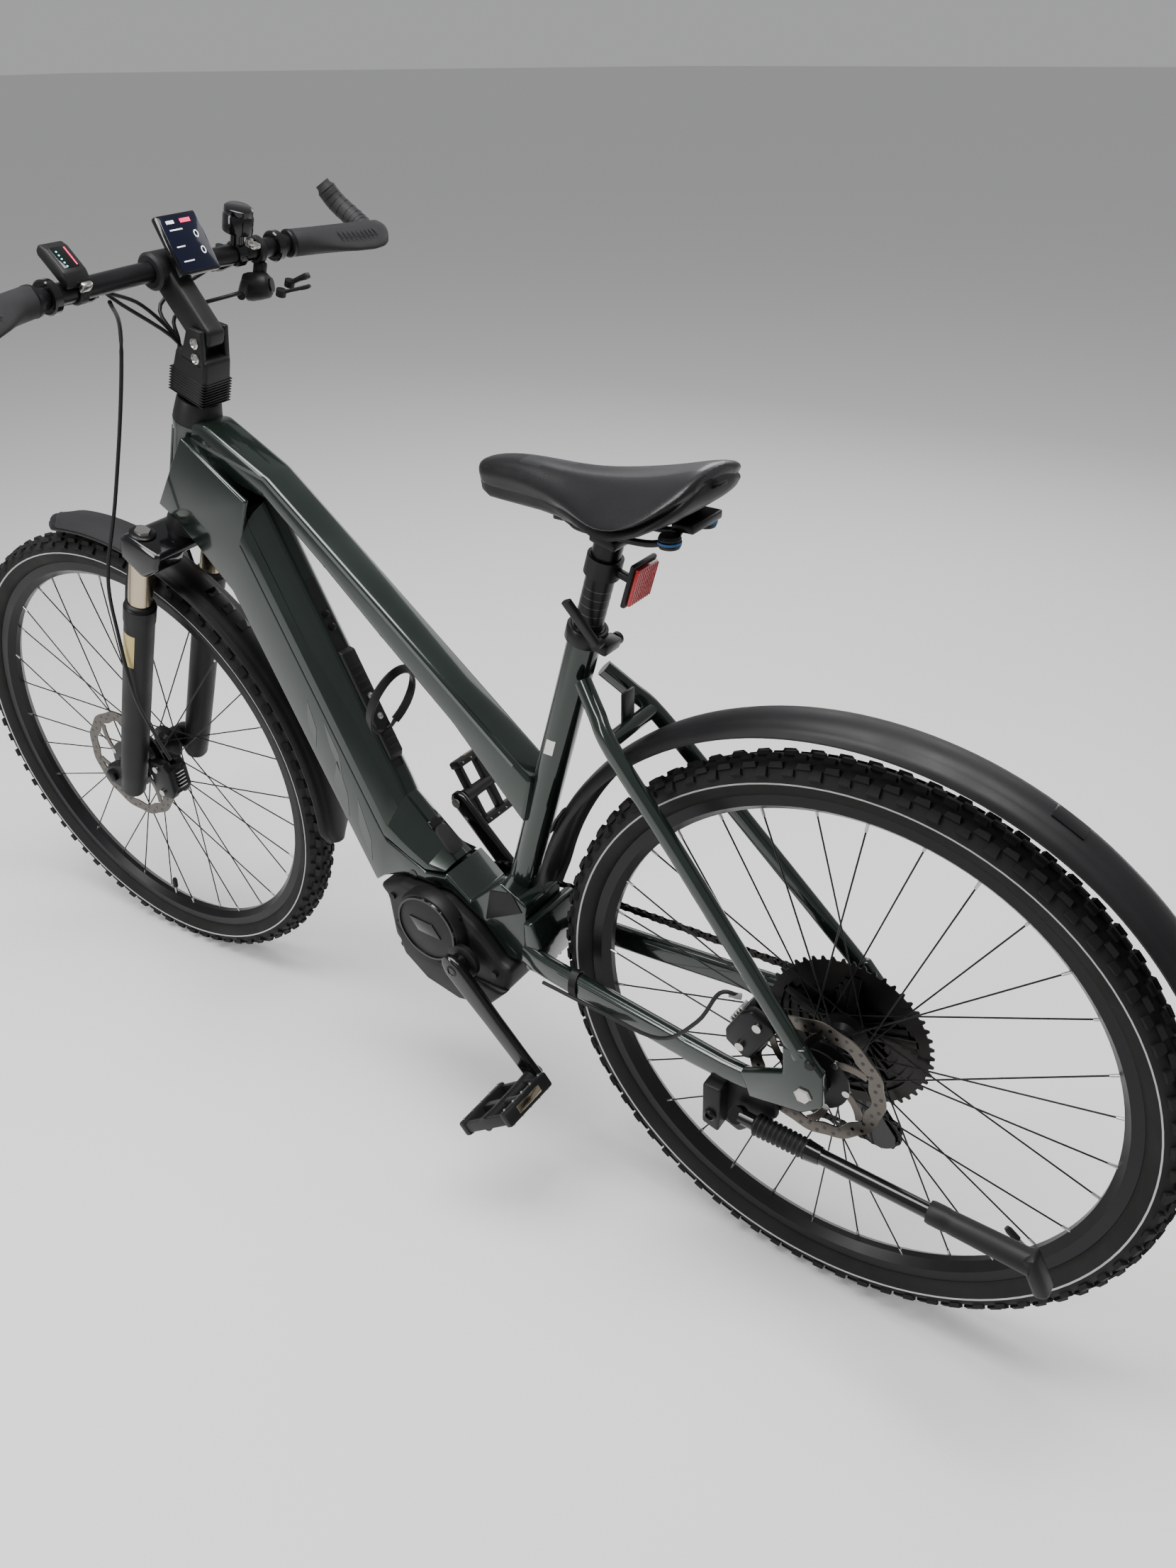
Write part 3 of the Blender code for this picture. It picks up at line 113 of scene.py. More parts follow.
# ---- materials ----------------------------------------------------------------------------
def look(name, slot, colour, roughness, metallic=0.0, coat=0.0, grain=900.0, bump=0.15,
         shift=0.15, cells=False, depth=0.0003, glow=0.0, shine=0.25):
    """A finish whose grain drives its bump, roughness and colour."""
    made = bpy.data.materials.new(name)
    made.use_nodes = True
    nodes, links = made.node_tree.nodes, made.node_tree.links
    shader = nodes["Principled BSDF"]
    shader.inputs["Metallic"].default_value = metallic
    shader.inputs["Coat Weight"].default_value = coat
    shader.inputs["Coat Roughness"].default_value = 0.06
    shader.inputs["Specular IOR Level"].default_value = shine
    where = nodes.new("ShaderNodeTexCoord")
    if cells:
        fine = nodes.new("ShaderNodeTexVoronoi")
        fine.feature = "DISTANCE_TO_EDGE"
        height = fine.outputs["Distance"]
    else:
        fine = nodes.new("ShaderNodeTexNoise")
        fine.inputs["Detail"].default_value = 3.0
        height = fine.outputs["Fac"]
    fine.inputs["Scale"].default_value = grain
    broad = nodes.new("ShaderNodeTexNoise")
    broad.inputs["Scale"].default_value = 16.0
    broad.inputs["Detail"].default_value = 5.0
    for texture in (fine, broad):
        links.new(where.outputs["Object"], texture.inputs["Vector"])
    tint = nodes.new("ShaderNodeMix")
    tint.data_type = "RGBA"
    tint.inputs["A"].default_value = (*[c * (1 - shift) for c in colour], 1.0)
    tint.inputs["B"].default_value = (*[min(1.0, c * (1 + shift)) for c in colour], 1.0)
    speckle = nodes.new("ShaderNodeMath")
    speckle.operation = "MULTIPLY_ADD"
    speckle.inputs[1].default_value = 0.45
    speckle.inputs[2].default_value = 0.0
    spread = nodes.new("ShaderNodeMath")
    spread.operation = "MULTIPLY_ADD"
    spread.inputs[1].default_value = 0.55
    links.new(height, speckle.inputs[0])
    links.new(broad.outputs["Fac"], spread.inputs[0])
    links.new(speckle.outputs[0], spread.inputs[2])
    links.new(spread.outputs[0], tint.inputs["Factor"])
    links.new(tint.outputs["Result"], shader.inputs["Base Color"])
    rough = nodes.new("ShaderNodeMapRange")
    rough.inputs["From Min"].default_value = 0.3
    rough.inputs["From Max"].default_value = 0.7
    rough.inputs["To Min"].default_value = max(0.03, roughness * 0.85)
    rough.inputs["To Max"].default_value = min(1.0, roughness * 1.18)
    links.new(broad.outputs["Fac"], rough.inputs["Value"])
    links.new(rough.outputs["Result"], shader.inputs["Roughness"])
    relief = nodes.new("ShaderNodeBump")
    relief.inputs["Strength"].default_value = bump
    relief.inputs["Distance"].default_value = depth
    links.new(height, relief.inputs["Height"])
    links.new(relief.outputs["Normal"], shader.inputs["Normal"])
    if glow:
        shader.inputs["Emission Color"].default_value = (*colour, 1.0)
        shader.inputs["Emission Strength"].default_value = glow
    made["slot"] = slot
    return made


PAINT = look("green_paint", "paint", (0.0125, 0.0195, 0.0155), 0.20, 0.50, 0.8, 2600, 0.03, 0.45)
SATIN_PAINT = look("green_satin_paint", "paint", (0.0150, 0.0215, 0.0178), 0.36, 0.40, 0.1, 2600, 0.05, 0.35)
BLACK = look("black_plastic", "black_plastic", (0.0060, 0.0060, 0.0066), 0.46, grain=1300, bump=0.35)
GLOSS = look("gloss_black", "gloss_black", (0.0040, 0.0040, 0.0045), 0.12, coat=0.35, grain=500, bump=0.02)
ANODISED = look("black_anodised", "anodised", (0.0070, 0.0070, 0.0078), 0.32, 0.25, grain=2200, bump=0.10)
RUBBER = look("tyre_rubber", "tyre", (0.0085, 0.0080, 0.0076), 0.72, grain=700, bump=0.5, shift=0.4)
GRIP = look("grip_rubber", "grip", (0.0160, 0.0160, 0.0170), 0.60, grain=950, bump=0.7, cells=True)
STEEL = look("bright_steel", "steel", (0.46, 0.45, 0.43), 0.26, 1.0, grain=1500, bump=0.06)
DISC = look("disc_steel", "disc", (0.110, 0.098, 0.088), 0.32, 1.0, grain=1100, bump=0.12, shift=0.3)
CHAIN_STEEL = look("chain_steel", "chain_steel", (0.026, 0.025, 0.024), 0.34, 0.9, grain=900, bump=0.1)
BRONZE = look("bronze_tube", "bronze", (0.44, 0.37, 0.27), 0.20, 1.0, grain=1600, bump=0.03)
VINYL = look("saddle_vinyl", "vinyl", (0.0065, 0.0065, 0.0072), 0.36, coat=0.10, grain=620, bump=0.55,
             cells=True, depth=0.0004)
GLOSS_VINYL = look("saddle_panel", "vinyl", (0.0140, 0.0140, 0.0155), 0.24, coat=0.20, grain=620, bump=0.15)
RED = look("red_reflector", "red", (0.36, 0.006, 0.010), 0.10, coat=0.7, grain=420, bump=0.5, cells=True)
SCREEN = look("screen_glass", "screen", (0.003, 0.004, 0.014), 0.10, coat=0.2, grain=200, bump=0.01)
STRIPE = look("reflective_stripe", "stripe", (0.40, 0.40, 0.40), 0.40, grain=1500, bump=0.3)
LABEL = look("plain_sticker", "label", (0.50, 0.40, 0.17), 0.40, grain=900, bump=0.05)
WHITE_LABEL = look("white_sticker", "label", (0.62, 0.62, 0.60), 0.40, grain=900, bump=0.05)
SHARD = look("grey_graphic", "label", (0.060, 0.068, 0.064), 0.30, 0.5, 0.5, 2600, 0.03, 0.3)
BLUE = look("blue_ring", "label", (0.02, 0.09, 0.22), 0.40, grain=900, bump=0.1)
CYAN = look("cyan_light", "light", (0.10, 0.70, 0.70), 0.30, grain=900, bump=0.02, glow=1.6)
MAGENTA = look("magenta_light", "light", (0.80, 0.03, 0.12), 0.30, grain=900, bump=0.02, glow=1.2)
WHITE_LIGHT = look("white_light", "light", (0.75, 0.75, 0.78), 0.30, grain=900, bump=0.02, glow=0.9)


# ---- making pieces ------------------------------------------------------------------------
def piece(name, shape, finish, body, where=BIKE, replaces=(), sharp=35, bevel=0.0, subdivide=0):
    """Turns a bmesh into a visible piece that rides on a CAD body."""
    bmesh.ops.recalc_face_normals(shape, faces=shape.faces)
    mesh = bpy.data.meshes.new(name)
    shape.to_mesh(mesh)
    shape.free()
    mesh.transform(where)
    mesh.materials.append(finish)
    mesh.polygons.foreach_set("use_smooth", [True] * len(mesh.polygons))
    if not bevel:
        mesh.set_sharp_from_angle(angle=math.radians(sharp))
    made = bpy.data.objects.new(name, mesh)
    bpy.context.scene.collection.objects.link(made)
    if subdivide:
        made.modifiers.new("soften", "SUBSURF").levels = subdivide
        made.modifiers["soften"].render_levels = subdivide
    if bevel:
        edge = made.modifiers.new("edge", "BEVEL")
        edge.width = bevel
        edge.segments = 3
        edge.limit_method = "ANGLE"
        edge.angle_limit = math.radians(32)
        edge.harden_normals = True
    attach(made, body)
    if replaces:
        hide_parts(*replaces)
    return made


def joined(*shapes):
    """Several bmeshes as one."""
    whole = bmesh.new()
    for shape in shapes:
        mesh = bpy.data.meshes.new("part")
        shape.to_mesh(mesh)
        shape.free()
        whole.from_mesh(mesh)
        bpy.data.meshes.remove(mesh)
    return whole


def moved(shape, matrix):
    bmesh.ops.transform(shape, matrix=matrix, verts=shape.verts)
    return shape


def box(size, centre=(0, 0, 0), turn=None, bevel=0.0):
    shape = bmesh.new()
    bmesh.ops.create_cube(shape, size=1.0, matrix=Matrix.Diagonal((*size, 1.0)))
    if bevel:
        bmesh.ops.bevel(shape, geom=shape.edges[:], offset=bevel, segments=2, affect="EDGES", profile=0.5)
    return moved(shape, Matrix.Translation(centre) @ (turn or Matrix.Identity(3)).to_4x4())


def rod(start, end, radius, radius_end=None, sides=28):
    """A cylinder or cone between two points."""
    start, end = Vector(start), Vector(end)
    shape = bmesh.new()
    turn = (end - start).to_track_quat("Z", "Y").to_matrix().to_4x4()
    bmesh.ops.create_cone(shape, cap_ends=True, segments=sides, radius1=radius,
                          radius2=radius if radius_end is None else radius_end, depth=(end - start).length,
                          matrix=Matrix.Translation((start + end) / 2) @ turn)
    return shape


def prism(outline, low, high, bevel=0.0, segments=3):
    """An (x, z) outline carried along Y from low to high, with rounded edges."""
    shape = bmesh.new()
    near = [shape.verts.new((x, low, z)) for x, z in outline]
    far = [shape.verts.new((x, high, z)) for x, z in outline]
    shape.faces.new(near)
    shape.faces.new(far[::-1])
    for i in range(len(outline)):
        j = (i + 1) % len(outline)
        shape.faces.new((near[i], far[i], far[j], near[j]))
    bmesh.ops.recalc_face_normals(shape, faces=shape.faces)
    if bevel:
        bmesh.ops.bevel(shape, geom=shape.edges[:], offset=bevel, segments=segments, affect="EDGES",
                        profile=0.5, clamp_overlap=True)
    return shape


def loft(sections, closed=False, caps=True):
    """A skin through rings that all have the same number of points."""
    shape = bmesh.new()
    rings = [[shape.verts.new(point) for point in ring] for ring in sections]
    pairs = list(zip(rings, rings[1:]))
    if closed:
        pairs.append((rings[-1], rings[0]))
    for first, second in pairs:
        for i in range(len(first)):
            j = (i + 1) % len(first)
            shape.faces.new((first[i], first[j], second[j], second[i]))
    if caps and not closed:
        shape.faces.new(rings[0][::-1])
        shape.faces.new(rings[-1])
    return shape


def lathe(profile, steps=48, closed=True):
    """A ring about the Y axis from (radius, across) points."""
    sections = []
    for i in range(steps):
        angle = math.tau * i / steps
        sections.append([(r * math.cos(angle), y, r * math.sin(angle)) for r, y in profile])
    shape = loft(sections, closed=True)
    if not closed:
        bmesh.ops.remove_doubles(shape, verts=shape.verts, dist=1e-6)
    return shape


def turned(profile, start, axis, steps=36):
    """A solid of (radius, height) points about an axis that starts at a point."""
    shape = lathe([(max(r, 1e-5), h) for r, h in profile] + [(1e-5, profile[-1][1]), (1e-5, profile[0][1])],
                  steps)
    bmesh.ops.remove_doubles(shape, verts=shape.verts, dist=2e-5)
    turn = Vector(axis).to_track_quat("Y", "Z").to_matrix().to_4x4()
    return moved(shape, Matrix.Translation(start) @ turn)


def smooth_route(points, steps=6):
    """Catmull-Rom points through a cord's chosen route."""
    points = [Vector(point) for point in points]
    padded = [2 * points[0] - points[1], *points, 2 * points[-1] - points[-2]]
    route = []
    for a, b, c, d in zip(padded, padded[1:], padded[2:], padded[3:]):
        for step in range(steps):
            t = step / steps
            route.append(0.5 * ((2 * b) + (c - a) * t + (2 * a - 5 * b + 4 * c - d) * t * t
                                + (3 * b - a - 3 * c + d) * t ** 3))
    return [*route, points[-1]]


def cable(name, points, radius, finish, body, where=BIKE, replaces=()):
    """A round cord or wire as a curve with a bevel."""
    data = bpy.data.curves.new(name, "CURVE")
    data.dimensions = "3D"
    data.bevel_depth = radius
    data.bevel_resolution = 4
    data.use_fill_caps = True
    line = data.splines.new("POLY")
    route = smooth_route(points)
    line.points.add(len(route) - 1)
    for target, point in zip(line.points, route):
        target.co = (*(where @ point), 1.0)
    line.use_smooth = True
    data.materials.append(finish)
    made = bpy.data.objects.new(name, data)
    bpy.context.scene.collection.objects.link(made)
    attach(made, body)
    if replaces:
        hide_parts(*replaces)
    return made


def run_at(line, i):
    """The direction of a line at its point i."""
    return (line[min(i + 1, len(line) - 1)] - line[max(i - 1, 0)]).normalized()


def turn_to(direction):
    """The turn that takes the Y axis to a direction."""
    return direction.to_track_quat("Y", "Z").to_matrix().to_4x4()


def level_frames(line):
    """Each point of a line, a level direction across it and the direction up from it."""
    for i, point in enumerate(line):
        run = run_at(line, i)
        across = run.cross(Vector((0, 0, 1))).normalized()
        yield point, across, across.cross(run)


def circle(radius, sides):
    return [(radius * math.cos(angle), radius * math.sin(angle))
            for angle in (math.tau * i / sides for i in range(sides))]


def bending_cable(name, points, radius, finish, where=BIKE, replaces=()):
    """A cord as one fixed mesh, attached to no body, that spans two bodies with a joint between them."""
    ring = circle(radius, 12)
    line = smooth_route(points)
    rings = []
    for i, point in enumerate(line):
        turn = run_at(line, i).to_track_quat("Z", "Y")
        rings.append([point + turn @ Vector((a, b, 0)) for a, b in ring])
    shape = loft(rings)
    bmesh.ops.recalc_face_normals(shape, faces=shape.faces)
    mesh = bpy.data.meshes.new(name)
    shape.to_mesh(mesh)
    shape.free()
    mesh.transform(where)
    mesh.materials.append(finish)
    mesh.polygons.foreach_set("use_smooth", [True] * len(mesh.polygons))
    made = bpy.data.objects.new(name, mesh)
    bpy.context.scene.collection.objects.link(made)
    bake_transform(made)
    if replaces:
        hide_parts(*replaces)
    return made


def sweep(points, section, closed=False):
    """Carries an (across, out) section along a line; across stays near the Y axis."""
    points = [Vector(point) for point in points]
    rings = []
    for i, point in enumerate(points):
        before = points[i - 1] if i or closed else points[0]
        after = points[(i + 1) % len(points)] if i + 1 < len(points) or closed else points[-1]
        run = (after - before).normalized()
        across = (Vector((0, 1, 0)) - run * run.y).normalized()
        out = run.cross(across)
        rings.append([point + across * a + out * b for a, b in section])
    return loft(rings, closed=closed)


def down_point(along, out, side=0.0):
    point = DOWN_LOW + DOWN_UP * along + DOWN_OUT * out
    return Vector((point.x, side, point.z))


def head_point(height, forward=0.0, side=0.0):
    point = HEAD_FOOT + HEAD_UP * height + HEAD_FORWARD * forward
    return Vector((point.x, side, point.z))


def seat_point(height, side=0.0, back=0.0):
    point = SEAT_FOOT + SEAT_UP * height
    return Vector((point.x - back, side, point.z))


def flat(*points):
    return [(point[0], point[-1]) for point in points]


def down_outline(*pairs):
    """A side outline from (along, out) pairs on the down tube."""
    return flat(*[down_point(along, out) for along, out in pairs])


# ---- wheels -------------------------------------------------------------------------------
KNOBS = 74


def knob(angle, across, radius, size, lean):
    """One tread block standing on the casing."""
    turn = Matrix.Rotation(-angle, 4, "Y")
    tilt = Matrix.Rotation(lean, 4, "Z")
    shape = bmesh.new()
    bmesh.ops.create_cube(shape, size=1.0)
    for corner in shape.verts:
        taper = 0.80 if corner.co.x > 0 else 1.0
        corner.co = Vector((corner.co.x * size[0], corner.co.y * size[1] * taper,
                            corner.co.z * size[2] * taper))
    return moved(shape, turn @ Matrix.Translation((radius, across, 0)) @ tilt)


def tyre(prefix, body, where):
    casing = [(RIM_R + 0.0005, 0.0150), (0.3220, 0.0188), (0.3290, 0.0228), (0.3360, TYRE_HALF),
              (0.3430, 0.0212), (0.3490, 0.0160), (0.3535, 0.0090), (0.3548, 0.0)]
    half = casing + [(r, -y) for r, y in reversed(casing[:-1])]
    inner = [(RIM_R + 0.0005, -0.0105), (0.3400, -0.0105), (0.3400, 0.0105), (RIM_R + 0.0005, 0.0105)]
    piece(prefix + "_tyre_casing", lathe(half + inner, 120), RUBBER, body, where, (prefix + "_tyre",), 50)
    blocks = []
    step = math.tau / KNOBS
    for i in range(KNOBS):
        angle = step * i
        for across, lean, offset in ((0.0046, 0.25, 0.0), (-0.0046, -0.25, 0.5)):
            blocks.append(knob(angle + step * offset, across, 0.3553, (0.0050, 0.0068, 0.0150), lean))
        for side in (1, -1):
            blocks.append(knob(angle + step * 0.25, side * 0.0150, 0.3515, (0.0055, 0.0058, 0.0160),
                               side * -0.35))
            long = 0.0070 if i % 2 else 0.0105
            blocks.append(knob(angle + step * 0.75, side * 0.0208, 0.3460, (long, 0.0052, 0.0125),
                               side * -0.85))
    piece(prefix + "_tyre_tread", joined(*blocks), RUBBER, body, where, sharp=30)
    for side, word in ((1, "left"), (-1, "right")):
        band = [(0.3328, side * 0.0231), (0.3350, side * 0.0238), (0.3350, side * 0.0228),
                (0.3328, side * 0.0222)]
        piece(f"{prefix}_tyre_stripe_{word}", lathe(band, 120), STRIPE, body, where)


def rim_and_spokes(prefix, body, where, flanges, ends, valve_angle):
    rim = [(RIM_R, 0.0140), (RIM_R + 0.0012, 0.0128), (RIM_R - 0.003, 0.0120), (RIM_R - 0.003, -0.0120),
           (RIM_R + 0.0012, -0.0128), (RIM_R, -0.0140), (RIM_R - 0.0125, -0.0135),
           (RIM_INNER_R + 0.002, -0.0062), (RIM_INNER_R, -0.0040), (RIM_INNER_R, 0.0040),
           (RIM_INNER_R + 0.002, 0.0062), (RIM_R - 0.0125, 0.0135)]
    piece(prefix + "_rim", lathe(rim, 144), ANODISED, body, where, (prefix + "_wheel",), 30)
    left, right = ends
    near, far = flanges
    hub = [(0.0095, left), (0.0160, left), (0.0180, left - 0.003), (0.0180, near + 0.0050),
           (0.0290, near + 0.0022), (0.0290, near - 0.0022), (0.0200, near - 0.0050),
           (0.0150, near - 0.0110), (0.0150, far + 0.0110), (0.0200, far + 0.0050), (0.0290, far + 0.0022),
           (0.0290, far - 0.0022), (0.0184, far - 0.0026), (0.0184, right), (0.0095, right)]
    piece(prefix + "_hub", lathe(hub, 48), ANODISED, body, where, sharp=28)
    wires, nipples = [], []
    for i in range(SPOKES):
        flange = flanges[i % 2]
        lead = 1 if (i // 2) % 2 else -1
        angle = math.tau * i / SPOKES
        foot_angle = angle + lead * SPOKE_LEAN
        foot = Vector((0.0262 * math.cos(foot_angle), flange + lead * 0.0010, 0.0262 * math.sin(foot_angle)))
        top = Vector((SPOKE_TOP_R * math.cos(angle), 0.0030 * (1 if flange > 0 else -1),
                      SPOKE_TOP_R * math.sin(angle)))
        run = (foot - top).normalized()
        wires.append(rod(foot, top, 0.0010, sides=8))
        nipples.append(rod(top - run * 0.002, top + run * 0.0115, 0.0019, 0.0016, 8))
    piece(prefix + "_spokes", joined(*wires), ANODISED, body, where, sharp=60)
    piece(prefix + "_nipples", joined(*nipples), STEEL, body, where, sharp=60)
    stem = Vector((math.cos(valve_angle), 0, math.sin(valve_angle)))
    piece(prefix + "_valve_stem", rod(stem * (RIM_INNER_R + 0.001), stem * (RIM_INNER_R - 0.026), 0.0030),
          STEEL, body, where)
    piece(prefix + "_valve_cap", turned([(0.0042, 0.0), (0.0042, 0.014), (0.0030, 0.0175)],
                                        stem * (RIM_INNER_R - 0.014), -stem, 16), BLACK, body, where)


def brake_disc(prefix, body, where, radius, across):
    """A rotor with a scalloped rim and curved arms on a black spider; its holes are painted shade, black
    discs.
    """
    steps, waves = 180, 12
    outer, inner = [], []
    for i in range(steps):
        angle = math.tau * i / steps
        wave = 0.0011 * math.cos(waves * angle)
        outer.append((radius - 0.0012 + wave, angle))
        inner.append((radius - 0.0175 + wave * 1.6, angle))
    rings = []
    for (r_out, angle), (r_in, _) in zip(outer, inner):
        rings.append([(r * math.cos(angle), across + y, r * math.sin(angle))
                      for r, y in ((r_out, 0.0009), (r_out, -0.0009), (r_in, -0.0009), (r_in, 0.0009))])
    band = loft(rings, closed=True)
    arms, rivets, dots = [], [], []
    for i in range(6):
        start = math.tau * i / 6
        line = []
        for step in range(7):
            share = step / 6
            r = 0.032 + (radius - 0.0165 - 0.032) * share
            angle = start + 0.55 * share
            line.append((r * math.cos(angle), across, r * math.sin(angle)))
        arms.append(sweep(line, [(-0.0009, -0.0042), (0.0009, -0.0042), (0.0009, 0.0042), (-0.0009, 0.0042)]))
        centre = Vector((0.036 * math.cos(start + 0.06), across, 0.036 * math.sin(start + 0.06)))
        rivets.append(rod(centre + Vector((0, 0.0026, 0)), centre - Vector((0, 0.0022, 0)), 0.0042, sides=16))
    # painted shade: the drilled holes are not cut; gloss black discs paint the dark seen through them
    for i in range(48):
        angle = math.tau * i / 48
        r = radius - (0.0060 if i % 2 else 0.0115)
        dots.append(rod((r * math.cos(angle), across - 0.0011, r * math.sin(angle)),
                        (r * math.cos(angle), across + 0.0011, r * math.sin(angle)), 0.0022, sides=12))
    piece(prefix + "_rotor", joined(band, *arms), DISC, body, where, (prefix + "_disc",), 30)
    piece(prefix + "_rotor_hole_shade", joined(*dots), GLOSS, body, where)
    piece(prefix + "_rotor_rivets", joined(*rivets), STEEL, body, where)
    spider = [(0.0186, across + 0.0030), (0.0215, across + 0.0030), (0.0390, across + 0.0012),
              (0.0390, across - 0.0012), (0.0215, across - 0.0022), (0.0186, across - 0.0022)]
    piece(prefix + "_rotor_spider", lathe(spider, 48), ANODISED, body, where)


def wheels():
    tyre("rear", "rear_wheel", REAR_AXLE)
    rim_and_spokes("rear", "rear_wheel", REAR_AXLE, (0.0330, -0.0195), (0.0730, -0.0730), math.radians(216))
    brake_disc("rear", "rear_wheel", REAR_AXLE, 0.080, 0.0587)
    tyre("front", "front_wheel", FRONT_AXLE)
    rim_and_spokes("front", "front_wheel", FRONT_AXLE, (0.0250, -0.0330), (0.0540, -0.0540),
                   math.radians(256))
    brake_disc("front", "front_wheel", FRONT_AXLE, 0.090, 0.0397)


# ---- frame --------------------------------------------------------------------------------
def rounded(size, bevel):
    """A (width, height) rectangle's outline as points for a tube's cross-section."""
    wide, tall = size
    ring = []
    for cx, cy, start in ((1, 1, 0), (-1, 1, 90), (-1, -1, 180), (1, -1, 270)):
        for step in range(5):
            angle = math.radians(start + 22.5 * step)
            ring.append((cx * (wide - bevel) + bevel * math.cos(angle),
                         cy * (tall - bevel) + bevel * math.sin(angle)))
    return ring


def main_tubes():
    shell = [
        head_point(0.488, 0.020), head_point(0.484, -0.014), down_point(0.4218, 0.0), DOWN_LOW,
        (0.640, 0, 0.350), (0.600, 0, 0.3695), (0.520, 0, 0.3745), (0.470, 0, 0.346), (0.432, 0, 0.306),
        (0.4003, 0, 0.306), (0.4003, 0, 0.400), (0.440, 0, 0.420), (0.4900, 0, 0.3700), (0.5290, 0, 0.3990),
        (0.5305, 0, 0.3925), (0.5640, 0, 0.3870), (0.6270, 0, 0.4130), down_point(0.074, 0.058),
        down_point(0.468, 0.058), (0.795, 0, 0.838), head_point(0.600, -0.010),
    ]
    made = piece("down_tube_shell", prism(flat(*shell), -0.037, 0.037, 0.0085, 4), PAINT, "frame",
                 replaces=("main_frame",), sharp=40)
    room = down_outline((0.116, 0.014), (0.523, 0.014), (0.523, 0.120), (0.116, 0.120))
    hollow(made, prism(room, -0.031, 0.031), BIKE)
    hollow(made, rod(head_point(0.40), head_point(0.70), 0.0205), BIKE)
    top_tube = [
        head_point(0.612, 0.005), (0.866, 0, 0.916), (0.772, 0, 0.870), (0.395, 0, 0.577), (0.408, 0, 0.512),
        (0.440, 0, 0.545), (0.510, 0, 0.619), (0.612, 0, 0.704), (0.692, 0, 0.773), (0.775, 0, 0.840),
        (0.868, 0, 0.858),
    ]
    beam = piece("top_tube", prism(flat(*top_tube), -0.024, 0.024, 0.0060, 3), PAINT, "frame", sharp=40)
    hollow(beam, rod(seat_point(0.120), seat_point(0.50), 0.0159), BIKE)
    hollow(beam, rod(head_point(0.40), head_point(0.70), 0.0205), BIKE)
    tube = [(0.0158, 0.0), (0.0185, 0.0), (0.0185, 0.413), (0.0181, 0.4148), (0.0158, 0.4148)]
    axis = turn_to(SEAT_UP)
    piece("seat_tube", moved(lathe(tube, 48), Matrix.Translation(seat_point(-0.060)) @ axis), PAINT, "frame")
    head = [(0.0206, 0.478), (0.0285, 0.478), (0.0292, 0.482), (0.0285, 0.488), (0.0280, 0.545),
            (0.0285, 0.600), (0.0295, 0.606), (0.0295, 0.611), (0.0206, 0.611)]
    around = turn_to(HEAD_UP)
    piece("head_tube", moved(lathe(head, 64), Matrix.Translation(HEAD_FOOT) @ around), PAINT, "frame")
    cover = [(0.0206, 0.6115), (0.0292, 0.6115), (0.0290, 0.6160), (0.0262, 0.6365), (0.0250, 0.6395),
             (0.0206, 0.6395)]
    piece("headset_cover", moved(lathe(cover, 64), Matrix.Translation(HEAD_FOOT) @ around), BLACK, "frame")
    ribs = []
    for side in (1, -1):
        for ahead in (0.0130, 0.0205, 0.0262):
            reach = math.sqrt(max(0.0, 0.0284 ** 2 - ahead ** 2))
            ribs.append(rod(head_point(0.492, ahead, side * reach), head_point(0.596, ahead, side * reach),
                            0.0011))
    piece("head_tube_ribs", joined(*ribs), PAINT, "frame")


def hollow(target, cutter, where):
    """Takes a shape out of a piece and applies the cut."""
    bmesh.ops.recalc_face_normals(cutter, faces=cutter.faces)
    mesh = bpy.data.meshes.new("hollow")
    cutter.to_mesh(mesh)
    cutter.free()
    mesh.transform(where)
    tool = bpy.data.objects.new("hollow", mesh)
    bpy.context.scene.collection.objects.link(tool)
    step = target.modifiers.new("hollow", "BOOLEAN")
    step.operation = "DIFFERENCE"
    step.solver = "EXACT"
    step.object = tool
    with bpy.context.temp_override(object=target, active_object=target, selected_objects=[target]):
        bpy.ops.object.modifier_apply(modifier="hollow")
    bpy.data.objects.remove(tool)


def frame_details():
    holes = []
    for x, z in ((0.5848, 0.3583), (0.5420, 0.3600)):
        holes.append(turned([(0.0050, 0.0), (0.0062, 0.0004), (0.0062, 0.0010), (0.0046, 0.0012)],
                            (x, 0.0368, z + 0.018), (0, 1, 0), 24))
    piece("casting_plugs", joined(*holes), GLOSS, "frame")
    panel = [(0.455, 0.404), (0.421, 0.413), (0.406, 0.389), (0.465, 0.354)]
    piece("side_panel", prism(panel, 0.0366, 0.0385, 0.0007, 2), BLACK, "frame")
    piece("yoke_plate", prism([(0.402, 0.335), (0.380, 0.335), (0.380, 0.320), (0.402, 0.320)], 0.0455,
                              0.0472, 0.0007, 2), BLACK, "frame")
    shards = (
        ((0.030, 0.012), (0.082, 0.020), (0.120, 0.044), (0.060, 0.030)),
        ((0.098, 0.010), (0.150, 0.014), (0.176, 0.040), (0.128, 0.028)),
        ((0.150, 0.034), (0.196, 0.040), (0.232, 0.052), (0.182, 0.049)),
        ((0.200, 0.012), (0.238, 0.022), (0.262, 0.040), (0.222, 0.030)),
    )
    blades = []
    for shard in shards:
        blades.append(prism(down_outline(*shard), 0.0368, 0.0373))
    piece("side_graphic", joined(*blades), SHARD, "frame")
    piece("seat_tube_sticker", prism(flat(seat_point(0.185, 0, 0.006), seat_point(0.205, 0, 0.006),
                                          seat_point(0.205, 0, -0.006), seat_point(0.185, 0, -0.006)),
                                     0.0180, 0.0189), WHITE_LABEL, "frame")
    seam = [head_point(0.596, -0.004, 0.024), (0.772, 0.0240, 0.866), (0.620, 0.0240, 0.748),
            (0.420, 0.0240, 0.590)]
    strip = [(-0.0003, -0.0022), (0.0003, -0.0022), (0.0003, 0.0022), (-0.0003, 0.0022)]
    piece("top_tube_line", sweep(seam, strip), SHARD, "frame")


